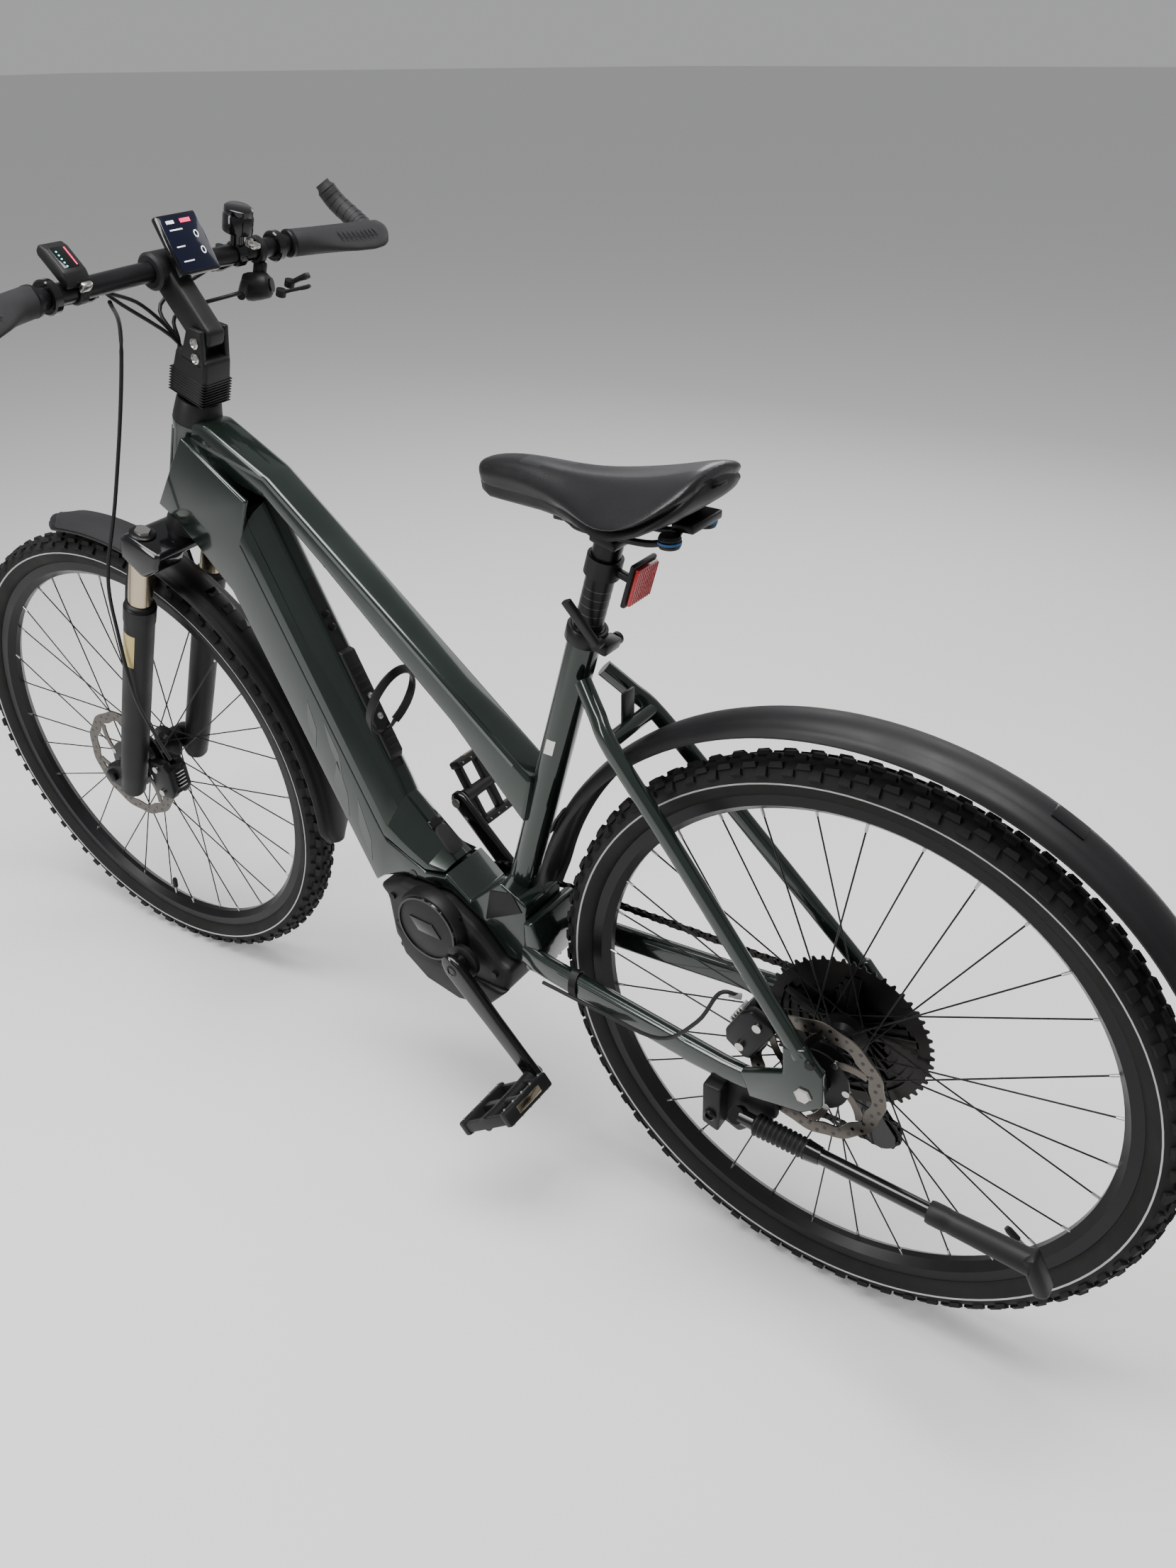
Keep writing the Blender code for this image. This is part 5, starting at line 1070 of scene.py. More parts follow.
def pedals():
    tilts = {1: ("left_pedal", math.radians(140.0)), -1: ("right_pedal", math.radians(60.0))}
    for side, (name, tilt) in tilts.items():
        where = (CRANK_FRAME @ Matrix.Translation((-side * CRANK, side * 0.145, 0))
                 @ Matrix.Rotation(CRANK_ANGLE - tilt, 4, "Y"))
        spindle = turned([(0.0, 0.0), (0.0105, 0.0), (0.0090, 0.030), (0.0085, 0.070), (0.0098, 0.092),
                          (0.0, 0.092)],
                         (0, -side * 0.0520, 0), (0, side, 0), 32)
        shapes = [spindle]
        for end in (1, -1):
            shapes.append(box((0.0110, 0.084, 0.0205), (end * 0.0440, 0, 0), bevel=0.0030))
        for across in (-0.037, 0.037):
            shapes.append(box((0.094, 0.0070, 0.0150), (0, across, 0), bevel=0.0025))
        shapes.append(box((0.094, 0.0110, 0.0130), (0, 0, 0), bevel=0.0025))
        piece(name + "_cage", joined(*shapes), BLACK, name, where, replaces=(name,), sharp=40)
        pins = []
        for end in (1, -1):
            for across in (-0.034, -0.017, 0.0, 0.017, 0.034):
                for face in (1, -1):
                    pins.append(rod((end * 0.0440, across, face * 0.0095),
                                    (end * 0.0440, across, face * 0.0118), 0.0018, 0.0013, 12))
        piece(name + "_pins", joined(*pins), STEEL, name, where, sharp=50)
        reflectors = [box((0.0020, 0.044, 0.0100), (end * 0.0495, 0, 0), bevel=0.0008) for end in (1, -1)]
        piece(name + "_reflectors", joined(*reflectors), BRONZE, name, where)


COGS = ((0.1005, -0.0226, 51), (0.0920, -0.0262, 45), (0.0800, -0.0295, 39), (0.0700, -0.0328, 33),
        (0.0610, -0.0362, 28), (0.0530, -0.0396, 24), (0.0460, -0.0430, 21), (0.0400, -0.0464, 18),
        (0.0340, -0.0498, 15), (0.0285, -0.0532, 13), (0.0235, -0.0566, 11))


def cassette():
    cogs = [toothed(radius, radius - 0.0050, teeth, across - 0.0021, across - 0.0003,
                    max(0.0190, radius - 0.0190))
            for radius, across, teeth in COGS]
    arms = []
    for radius, across, _ in COGS[:6]:
        for i in range(5):
            angle = math.tau * i / 5 + across * 40
            tip = max(0.0190, radius - 0.0190)
            arms.append(sweep([(r * math.cos(angle), across - 0.0012, r * math.sin(angle))
                               for r in (0.019, tip + 0.002)],
                              rounded((0.0009, 0.0052), 0.0008)))
    core = lathe([(0.0190, -0.0230), (0.0198, -0.0230), (0.0198, -0.0640), (0.0190, -0.0640)], 48)
    piece("sprockets", joined(*cogs, *arms, core), CHAIN_STEEL, "cassette", REAR_AXLE, replaces=("cassette",))


def crossing(first, second):
    """Angles at which a belt leaves one (centre, radius, turn) wheel and meets the next."""
    (centre_a, radius_a, turn_a), (centre_b, radius_b, turn_b) = first, second
    run = centre_b - centre_a
    lean = math.acos((turn_b * radius_b - turn_a * radius_a) / run.length)
    normal = math.atan2(run.y, run.x) + lean
    return tuple(normal + (math.pi if turn > 0 else 0.0) for turn in (turn_a, turn_b))


def chain_line():
    wheels_used = [
        (Vector((BB.x, BB.z)), CHAINRING_R, -1), (Vector(PULLEY_LOWER), PULLEY_R + 0.001, -1),
        (Vector(PULLEY_UPPER), PULLEY_R + 0.001, 1), (Vector((0.0, TYRE_R)), COG_R, -1),
    ]
    hops = [crossing(a, b) for a, b in zip(wheels_used, wheels_used[1:] + wheels_used[:1])]
    line = []
    for (centre, radius, turn), hop_in, hop_out in zip(wheels_used, hops[-1:] + hops[:-1], hops):
        arc = (turn * (hop_out[0] - hop_in[1])) % math.tau
        for step in range(41):
            angle = hop_in[1] + turn * arc * step / 40
            line.append(centre + Vector((math.cos(angle), math.sin(angle))) * radius)
    return line + line[:1]


def chain():
    """Rollers and paired plates set at equal steps along the belt line."""
    line = chain_line()
    lengths = [0.0]
    for a, b in zip(line, line[1:]):
        lengths.append(lengths[-1] + (b - a).length)
    links = 2 * round(lengths[-1] / 0.0254)

    def at(distance):
        distance %= lengths[-1]
        low = max(i for i, length in enumerate(lengths) if length <= distance)
        low = min(low, len(line) - 2)
        part = (distance - lengths[low]) / max(1e-9, lengths[low + 1] - lengths[low])
        point = line[low].lerp(line[low + 1], part)
        return Vector((point.x, CHAIN_Y, point.y))

    pitch = lengths[-1] / links
    rollers, plates = [], []
    for i in range(links):
        here, after = at(i * pitch), at((i + 1) * pitch)
        rollers.append(rod(here - Vector((0, 0.0026, 0)), here + Vector((0, 0.0026, 0)), 0.0038, sides=10))
        run = (after - here).normalized()
        up = Vector((-run.z, 0, run.x))
        middle = (here + after) / 2
        half = pitch / 2
        wide = 0.0026 if i % 2 else 0.0034
        ring = [middle + run * a + up * b for a, b in (
            (-half - 0.003, 0.0), (-half, 0.0038), (0, 0.0026), (half, 0.0038), (half + 0.003, 0.0),
            (half, -0.0038), (0, -0.0026), (-half, -0.0038))]
        for side in (1, -1):
            plates.append(loft([[p + Vector((0, side * y, 0)) for p in ring] for y in (wide - 0.0005, wide)]))
    piece("chain_links", joined(*rollers, *plates), CHAIN_STEEL, "frame", replaces=("chain",), sharp=40)


def derailleur():
    link = (BIKE @ Matrix.Translation((-0.008, -0.084, 0.300)))
    body = loft([[(x + lean, y * s, z) for x, y in rounded((0.0125, 0.0085), 0.004)]
                 for z, lean, s in ((-0.0060, 0.0, 0.9), (-0.0120, -0.001, 1.0), (-0.0240, -0.002, 1.0),
                                    (-0.0290, -0.002, 0.8))])
    knuckle = rod((0.0, 0.0, -0.0240), (0.0, 0.0, -0.0440), 0.011, 0.013)
    piece("derailleur_body", joined(body, knuckle), GLOSS, "derailleur_link", link, ("derailleur_link",), 40)
    where = BIKE @ Matrix.Translation((PULLEY_UPPER[0], -0.066, PULLEY_UPPER[1]))
    fall = Vector((PULLEY_LOWER[0] - PULLEY_UPPER[0], PULLEY_LOWER[1] - PULLEY_UPPER[1]))
    side = Vector((-fall.y, fall.x)).normalized()
    ring = []
    for centre, radius, start in ((Vector((0, 0)), 0.0120, 0.0), (fall * 1.06, 0.0185, math.pi)):
        base = math.atan2(side.y, side.x)
        for step in range(13):
            angle = base + start + math.pi * (1 if start == 0 else 1) * step / 12
            ring.append(centre + Vector((math.cos(angle), math.sin(angle))) * radius)
    if (ring[1] - ring[0]).dot(fall) > 0:
        ring = [p - 2 * (p - (Vector((0, 0)) if i < 13 else fall * 1.06)).project(fall)
                for i, p in enumerate(ring)]
    plates = [prism([(p.x, p.y) for p in ring], low, high, 0.0004, 1)
              for low, high in ((0.0085, 0.0103), (0.0215, 0.0233))]
    pins = [rod((x, 0.0090, z), (x, 0.0225, z), 0.0042) for x, z in ((0.0, 0.0), tuple(fall))]
    piece("derailleur_plates", joined(*plates, *pins), GLOSS, "derailleur_cage", where,
          ("derailleur_cage",), 40)
    for name, (x, z) in (("upper_pulley", (0.0, 0.0)), ("lower_pulley", tuple(fall))):
        wheel = toothed(PULLEY_R, PULLEY_R - 0.0045, 14, 0.0150, 0.0175, 0.0048)
        piece(name + "_wheel", wheel, BLACK, name, where @ Matrix.Translation((x, 0, z)), (name,), 35)


# ---- kickstand ----------------------------------------------------------------------------
STAND_PIVOT = Vector((0.0740, 0.0850, 0.2800))
STAND_TIP = Vector((-0.2680, 0.100, 0.288))


def kickstand():
    plate = [(0.118, 0.3125), (0.038, 0.3135), (0.034, 0.284), (0.078, 0.236), (0.116, 0.250)]
    block = [(0.117, 0.3115), (0.094, 0.3115), (0.094, 0.246), (0.115, 0.252)]
    piece("stand_plate", joined(prism(plate, 0.060, 0.0715, 0.004, 3), prism(block, 0.066, 0.093, 0.003, 3)),
          BLACK, "frame", replaces=("kickstand_bracket",), sharp=42)
    bolt = [(0.0, 0.0), (0.0075, 0.0), (0.0075, 0.0030), (0.0050, 0.0048), (0.0044, 0.0020), (0.0, 0.0020)]
    piece("stand_bolt", turned(bolt, (0.104, 0.0928, 0.2700), (0, 1, 0), 24), ANODISED, "frame")
    run = STAND_TIP - STAND_PIVOT
    fold = run.cross(Vector((0.35, 0.52, -0.78))).normalized()
    unit = run.normalized()
    tube = rod(STAND_PIVOT + run * 0.01, STAND_PIVOT + run * 0.70, 0.0086)
    knuckle = rod(STAND_PIVOT - fold * 0.007, STAND_PIVOT + fold * 0.007, 0.0100)
    collar = rod(STAND_PIVOT + run * 0.250, STAND_PIVOT + run * 0.300, 0.0118, 0.0100)
    piece("stand_tube", joined(tube, knuckle, collar), GLOSS, "kickstand_leg", replaces=("kickstand_leg",))
    bellows, turns = [(0.0088, run.length * 0.062)], 11
    for i in range(turns):
        low = run.length * (0.065 + 0.0175 * i)
        bellows += [(0.0100, low), (0.0132 - 0.00012 * i, low + 0.0022), (0.0132 - 0.00012 * i, low + 0.0038),
                    (0.0100, low + 0.0058)]
    bellows.append((0.0088, bellows[-1][1]))
    around = turn_to(unit)
    piece("stand_bellows", moved(lathe(bellows, 40), Matrix.Translation(STAND_PIVOT) @ around), BLACK,
          "kickstand_leg", sharp=60)
    sleeve_start, foot = STAND_PIVOT + run * 0.655, STAND_PIVOT + run * 0.965
    length = (foot - sleeve_start).length
    sleeve = [(0.0092, 0.0), (0.0118, 0.0), (0.0126, 0.004), (0.0126, 0.018), (0.0118, 0.022),
              (0.0122, 0.026), (0.0135, length), (0.0092, length)]
    tip = Matrix.Translation(foot + Vector((-0.006, 0, -0.010))) @ Matrix.Rotation(math.radians(-62), 4, "Y")
    sole = moved(box((0.050, 0.024, 0.017), bevel=0.0060), tip)
    shell = moved(lathe(sleeve, 40), Matrix.Translation(sleeve_start) @ around)
    piece("stand_sleeve", joined(shell, sole, rod(foot - unit * 0.004, foot, 0.0134)), BLACK,
          "kickstand_foot", replaces=("kickstand_foot",), sharp=45)


# ---- fork ---------------------------------------------------------------------------------
def fork():
    crown = [(-0.0300, 0.4560), (0.0300, 0.4560), (0.0400, 0.4460), (0.0360, 0.4180), (-0.0040, 0.4060),
             (-0.0260, 0.4300)]
    top = piece("crown_bridge", prism(crown, -0.084, 0.084, 0.0110, 4), GLOSS, "steering", STEERED,
                ("fork_crown",), 45)
    hollow(top, box((0.12, 0.080, 0.060), (0.0, 0.0, 0.4160)), STEERED)
    race = turned([(0.0, 0.450), (0.0320, 0.450), (0.0300, 0.4640), (0.0278, 0.4760), (0.0, 0.4780)],
                  (0, 0, 0), (0, 0, 1), 48)
    piece("crown_race", race, BLACK, "steering", STEERED)
    piece("steerer_tube", rod((0, 0, 0.460), (0, 0, 0.690), 0.0143), ANODISED, "steering", STEERED)
    tubes, caps, hexes = [], [], []
    for side in (1, -1):
        at = Vector((LEG_U, side * LEG_Y, 0))
        tubes.append(rod(at + Vector((0, 0, 0.250)), at + Vector((0, 0, 0.4300)), 0.0160, sides=48))
        caps.append(turned([(0.0, 0.0), (0.0165, 0.0), (0.0165, 0.0030), (0.0140, 0.0045), (0.0, 0.0045)],
                           at + Vector((0, 0, 0.4550)), (0, 0, 1), 40))
        hexes.append(turned([(0.0, 0.0), (0.0105, 0.0), (0.0100, 0.0035), (0.0, 0.0035)],
                            at + Vector((0, 0, 0.4592)), (0, 0, 1), 6 if side > 0 else 24))
    piece("stanchions", joined(*tubes), BRONZE, "steering", STEERED)
    piece("crown_caps", joined(*caps), ANODISED, "steering", STEERED)
    piece("crown_hexes", joined(*hexes), STEEL, "steering", STEERED)
    seals = [moved(lathe([(0.0163, -0.004), (0.0214, -0.004), (0.0214, 0.0), (0.0196, 0.0022),
                          (0.0208, 0.0044),
                               (0.0192, 0.0066), (0.0202, 0.0088), (0.0176, 0.0120), (0.0163, 0.0120)], 40),
                        Matrix.Translation((LEG_U, side * LEG_Y, 0.3355)) @ UPRIGHT)
                  for side in (1, -1)]
    piece("fork_seals", joined(*seals), BLACK, "fork_lowers", STEERED, sharp=60)
    legs = []
    for side in (1, -1):
        profile = [(0.0164, 0.3400), (0.0216, 0.3400), (0.0214, 0.3180), (0.0203, 0.3120), (0.0200, 0.1200),
                   (0.0195, 0.0300), (0.0180, -0.0120), (0.0150, -0.0180), (0.0020, -0.0180),
                   (0.0020, 0.1840), (0.0164, 0.1860)]
        legs.append(moved(lathe(profile, 48), Matrix.Translation((LEG_U, side * LEG_Y, 0))
                          @ UPRIGHT))
        foot = [(0.012, -0.018), (0.048, -0.018), (0.063, -0.006), (0.063, 0.010), (0.034, 0.032),
                (0.012, 0.032)]
        legs.append(prism(foot, *sorted((side * 0.0560, side * 0.0760)), 0.004, 3))
    arch = ((-0.062, -0.004), (-0.056, 0.040), (-0.046, 0.074), (-0.028, 0.100), (0.0, 0.108), (0.028, 0.100),
            (0.046, 0.074), (0.056, 0.040), (0.062, -0.004))
    section = ((0.0165, -0.009), (0.0230, -0.011), (0.0300, -0.009), (0.0300, 0.005), (0.0230, 0.006),
               (0.0165, 0.005))
    legs.append(loft([[(LEG_U + x + lift * 0.16, y, 0.300 + z + lift) for x, z in section]
                      for y, lift in arch]))
    piece("lower_legs", joined(*legs), BLACK, "fork_lowers", STEERED, ("fork_lowers",), 42)
    axle = turned([(0.0, 0.0), (0.0110, 0.0), (0.0110, 0.0055), (0.0085, 0.0070), (0.0, 0.0070)],
                  (FORK_OFFSET, 0.0760, 0), (0, 1, 0), 6)
    piece("front_axle", joined(axle, rod((FORK_OFFSET, -0.0760, 0), (FORK_OFFSET, 0.0760, 0), 0.0072)),
          ANODISED, "fork_lowers", STEERED)
    curve = []
    for step in range(9):
        angle = math.radians(60 + 7.5 * step)
        curve.append((LEG_U + 0.0204 * math.cos(angle), LEG_Y + 0.0204 * math.sin(angle)))
    rings = []
    for z in (0.245, 0.300):
        outer = [(x, y, z) for x, y in curve]
        inner = [(LEG_U + (x - LEG_U) * 0.985, LEG_Y + (y - LEG_Y) * 0.985, z) for x, y in reversed(curve)]
        rings.append(outer + inner)
    piece("fork_label", loft(rings), LABEL, "fork_lowers", STEERED)


# ---- cockpit ------------------------------------------------------------------------------
BAR_MIDDLE = Vector((0.063, 0, 0.768))
GRIP_START, GRIP_END = Vector((0.0520, 0.188, 0.7720)), Vector((0.0225, 0.3345, 0.7755))
CLAMP_HALF = 0.045
STEM_PIVOT = Vector((-0.006, 0, 0.722))


def bar_point(across):
    """The handlebar's centre line at a distance across, in the steering frame."""
    reach = abs(across)
    if reach < GRIP_START.y:
        part = max(0.0, (reach - CLAMP_HALF) / (GRIP_START.y - CLAMP_HALF))
        point = BAR_MIDDLE.lerp(GRIP_START, part)
    else:
        point = GRIP_START.lerp(GRIP_END, (reach - GRIP_START.y) / (GRIP_END.y - GRIP_START.y))
    return Vector((point.x, across, point.z))


def clamp_ring(across, width, outer, lip=0.0015):
    low, high = bar_point(across - width / 2), bar_point(across + width / 2)
    middle = (low + high) / 2
    half = (high - low).length / 2
    profile = [(0.0114, -half), (outer - lip, -half), (outer, -half + lip), (outer, half - lip),
               (outer - lip, half), (0.0114, half)]
    turn = turn_to(high - low)
    return moved(lathe(profile, 40), Matrix.Translation(middle) @ turn)


def stem():
    post = [(-0.0270, 0.6410), (0.0270, 0.6410), (0.0262, 0.6560), (0.0250, 0.6750), (0.0215, 0.7000),
            (-0.0255, 0.7000), (-0.0275, 0.6750), (-0.0262, 0.6560)]
    shape = [prism(post, -0.0222, 0.0222, 0.0060, 4)]
    for side in (1, -1):
        cheek = [(-0.0240, 0.690), (0.0120, 0.690), (0.0060, 0.7300), (-0.0160, 0.7340)]
        shape.append(prism(cheek, *sorted((side * 0.0150, side * 0.0222)), 0.002, 3))
    piece("stem_body", joined(*shape), BLACK, "steering", STEERED, ("stem_post",), 42)
    grooves = []
    for height in (0.6440, 0.6475, 0.6510, 0.6545, 0.6580, 0.6615, 0.6650, 0.6685, 0.6720):
        grooves.append(box((0.0556, 0.0454, 0.0010), (-0.0003, 0, height), bevel=0.0004))
    piece("spacer_rings", joined(*grooves), ANODISED, "steering", STEERED)
    bolt = [(0.0, 0.0), (0.0062, 0.0), (0.0062, 0.0020), (0.0045, 0.0030), (0.0036, 0.0012), (0.0, 0.0012)]
    bolts = [turned(bolt, (x, side * 0.0221, z), (0, side, 0), 24) for side in (1, -1)
             for x, z in ((-0.012, 0.7000), (-0.009, 0.7170))]
    piece("stem_bolts", joined(*bolts), STEEL, "steering", STEERED)
    arm = [(-0.0150, 0.0100), (-0.0060, 0.0150), (0.0560, 0.0575), (0.0760, 0.0560), (0.0860, 0.0400),
           (0.0720, 0.0280), (0.0200, -0.0060), (0.0000, -0.0130), (-0.0150, -0.0080)]
    arm = [(x + STEM_PIVOT.x, z + STEM_PIVOT.z) for x, z in arm]
    piece("stem_beam", joined(prism(arm, -0.0140, 0.0140, 0.0050, 4), clamp_ring(0.0, 0.048, 0.0205, 0.003)),
          BLACK, "cockpit", STEERED, ("stem_arm",), 42)
    bar = smooth_route([bar_point(stop) for stop in (-0.324, -0.250, -0.188, -0.120, -0.045, 0.0, 0.045,
                                                     0.120, 0.188, 0.250, 0.324)], 4)
    section = circle(BAR_R, 32)
    rings = [[point + across * a + up * b for a, b in section] for point, across, up in level_frames(bar)]
    piece("bar_tube", loft(rings), ANODISED, "cockpit", STEERED, ("handlebar",), 60)


HORN_R, HORN_TAPER = 0.0138, 0.0012


def grip(word, side):
    """An ergonomic grip: sleeve, ribbed palm wing and a curved horn with segment lines."""
    rings = []
    stations = ((0.1900, 0.0150, 0.0), (0.1925, 0.0162, 0.0), (0.2100, 0.0162, 0.0), (0.2250, 0.0162, 0.004),
                (0.2450, 0.0164, 0.011), (0.2700, 0.0166, 0.0175), (0.2950, 0.0168, 0.0180),
                (0.3150, 0.0170, 0.0120), (0.3280, 0.0168, 0.004), (0.3345, 0.0140, 0.0))
    for across, radius, wing in stations:
        centre = bar_point(side * across)
        ring = []
        for step in range(36):
            angle = math.tau * step / 36
            back = max(0.0, -math.cos(angle))
            push = radius + wing * back ** 3
            flat_part = 1.0 - 0.30 * (wing / 0.018) * back ** 3
            ring.append(centre + Vector((push * math.cos(angle), 0, radius * math.sin(angle) * flat_part)))
        rings.append(ring)
    piece(word + "_grip_sleeve", loft(rings), GRIP, "cockpit", STEERED, (word + "_grip",), 60)
    line = smooth_route([bar_point(side * 0.3200) + Vector(offset) for offset in (
        (-0.006, 0, -0.001), (0.014, side * 0.003, 0.0), (0.035, side * 0.006, 0.004),
        (0.065, side * 0.002, 0.014), (0.086, -side * 0.006, 0.031))], 6)
    horn = []
    for i, (point, across, up) in enumerate(level_frames(line)):
        share = i / (len(line) - 1)
        radius = HORN_R - HORN_TAPER * share
        if share > 0.94:
            radius *= 0.78
        horn.append([point + across * a + up * b for a, b in circle(radius, 28)])
    piece(word + "_horn", loft(horn), GRIP, "cockpit", STEERED, sharp=60)
    bands = []
    for i in range(8, len(line) - 2, 2):
        turn = turn_to(run_at(line, i))
        radius = HORN_R - HORN_TAPER * i / (len(line) - 1)
        bands.append(moved(lathe([(radius - 0.001, -0.0008), (radius + 0.0004, -0.0004),
                                  (radius + 0.0004, 0.0004), (radius - 0.001, 0.0008)], 28),
                           Matrix.Translation(line[i]) @ turn))
    piece(word + "_horn_lines", joined(*bands), BLACK, "cockpit", STEERED)
    ribs = []
    for i in range(9):
        across = 0.2520 + 0.0068 * i
        centre = bar_point(side * across)
        wing = 0.0120 + 0.006 * math.sin(math.pi * (i + 1) / 10)
        ribs.append(box((0.0120, 0.0016, 0.0016), centre + Vector((-0.0110 - wing * 0.45, 0, 0.0128)),
                        Matrix.Rotation(math.radians(-18), 3, "Y"), 0.0006))
    piece(word + "_grip_ribs", joined(*ribs), GRIP, "cockpit", STEERED)
    piece(word + "_grip_collar", clamp_ring(side * 0.1905, 0.007, 0.0166), ANODISED, "cockpit", STEERED)


def brake(word, side):
    barrel = turned([(0.0, 0.0), (0.0070, 0.0), (0.0085, 0.004), (0.0105, 0.010), (0.0105, 0.050),
                     (0.0092, 0.0556), (0.0, 0.0556)], (0.077, side * 0.086, 0.750),
                    (0.0078, side * 0.055, 0.001), 32)
    shapes = [clamp_ring(side * 0.168, 0.011, 0.0180), barrel,
              box((0.022, 0.024, 0.0165), (0.0775, side * 0.160, 0.757), bevel=0.0040),
              box((0.014, 0.018, 0.0130), (0.0830, side * 0.146, 0.755), bevel=0.0030),
              box((0.016, 0.030, 0.0050), (0.0800, side * 0.116, 0.7600), bevel=0.0018)]
    piece(word + "_brake_cylinder", joined(*shapes), GLOSS, "cockpit", STEERED, (word + "_brake_body",), 42)
    fitting = turned([(0.0, 0.0), (0.0046, 0.0), (0.0046, 0.008), (0.0032, 0.0085), (0.0028, 0.0140),
                      (0.0, 0.0140)],
                     (0.0765, side * 0.0865, 0.750), (-0.0078, -side * 0.055, -0.001), 6)
    piece(word + "_brake_fitting", fitting, STEEL, "cockpit", STEERED)
    pivot = Vector((0.1030, side * 0.128, 0.748))
    line = smooth_route([pivot + Vector(p) for p in (
        (0, 0, 0), (0.006, side * 0.030, -0.002), (0.000, side * 0.070, -0.006),
        (-0.004, side * 0.120, -0.010), (-0.010, side * 0.172, -0.015))], 6)
    rings = []
    for i, (point, out, up) in enumerate(level_frames(line)):
        share = i / (len(line) - 1)
        deep = 0.0040 + 0.0012 * share
        tall = 0.0075 - 0.0030 * math.sin(math.pi * min(1.0, share * 1.2)) * 0.8
        if share > 0.95:
            deep, tall = deep * 1.05, tall * 1.1
        rings.append([point + out * a + up * b for a, b in rounded((deep, tall), deep * 0.9)])
    blade = loft(rings)
    eye = rod(pivot - Vector((0, 0, 0.0085)), pivot + Vector((0, 0, 0.0085)), 0.0058)
    name = word + "_brake_lever"
    piece(word + "_lever_blade", joined(blade, eye), ANODISED, name, STEERED, (name,), 50)


def bell():
    ring = clamp_ring(-0.108, 0.012, 0.0148)
    foot = rod((0.059, -0.108, 0.778), (0.060, -0.108, 0.800), 0.0080)
    dome = turned([(0.0, 0.0), (0.0176, 0.0), (0.0180, 0.0030), (0.0180, 0.0180), (0.0165, 0.0205),
                   (0.0172, 0.0225), (0.0168, 0.0270), (0.0140, 0.0290), (0.0, 0.0292)],
                  (0.060, -0.108, 0.796), (0.001, 0, 0.029), 48)
    piece("bell_dome", joined(ring, foot, dome), GLOSS, "cockpit", STEERED, ("bell",), 40)
    at = Vector((0.0370, -0.104, 0.7930))
    nub = [rod(at - Vector((0, 0, 0.004)), at + Vector((0, 0, 0.004)), 0.0045),
           box((0.010, 0.013, 0.006), at + Vector((-0.008, 0, 0)), bevel=0.0022)]
    piece("bell_nub", joined(*nub), STEEL, "bell_striker", STEERED, ("bell_striker",))


def shifter():
    pod = turned([(0.0, 0.0), (0.0120, 0.0), (0.0158, 0.0025), (0.0168, 0.008), (0.0160, 0.020),
                  (0.0145, 0.0300), (0.0110, 0.0330), (0.0, 0.0334)], (0.054, -0.122, 0.727),
                 (-0.028, -0.016, 0.013), 40)
    shapes = [pod, clamp_ring(-0.138, 0.010, 0.0162),
              rod((0.050, -0.118, 0.734), (0.026, -0.086, 0.736), 0.0062, 0.0050),
              box((0.016, 0.010, 0.022), (0.047, -0.1380, 0.7500), bevel=0.0030)]
    piece("shifter_case", joined(*shapes), BLACK, "cockpit", STEERED, ("shifter_body",), 42)
    badge = turned([(0.0, 0.0), (0.0085, 0.0), (0.0085, 0.0010), (0.0, 0.0012)], (0.0262, -0.1380, 0.7400),
                   (-0.028, -0.016, 0.013), 32)
    piece("shifter_cap", badge, GLOSS, "cockpit", STEERED)
    for name, hinge, reach, size in (
            ("shifter_lever", (0.0060, -0.146, 0.7500), (-0.0200, -0.008, 0.0180), 0.0055),
            ("shifter_release", (0.0040, -0.1300, 0.7420), (-0.0280, -0.018, 0.0180), 0.0040)):
        hinge, reach = Vector(hinge), Vector(reach)
        run = reach.normalized()
        across = run.cross(Vector((0, 1, 0))).normalized()
        other = run.cross(across)
        rings = []
        for share, wide, thick in ((0.0, 0.8, 0.6), (0.35, 0.8, 0.5), (0.7, 1.15, 0.55), (0.95, 1.2, 0.6),
                                   (1.0, 0.8, 0.3)):
            centre = hinge + reach * share
            section = rounded((size * wide, size * thick), size * 0.3)
            rings.append([centre + other * a + across * b for a, b in section])
        hub = rod(hinge - Vector((0, 0, 0.004)), hinge + Vector((0, 0, 0.004)), 0.0062)
        ridges = [rod(hinge + reach * s - other * size + across * size * 0.55,
                      hinge + reach * s + other * size + across * size * 0.55, 0.0006, sides=8)
                  for s in (0.72, 0.80, 0.88)]
        piece(name + "_paddle", joined(loft(rings), hub, *ridges), BLACK, name, STEERED, (name,), 40)


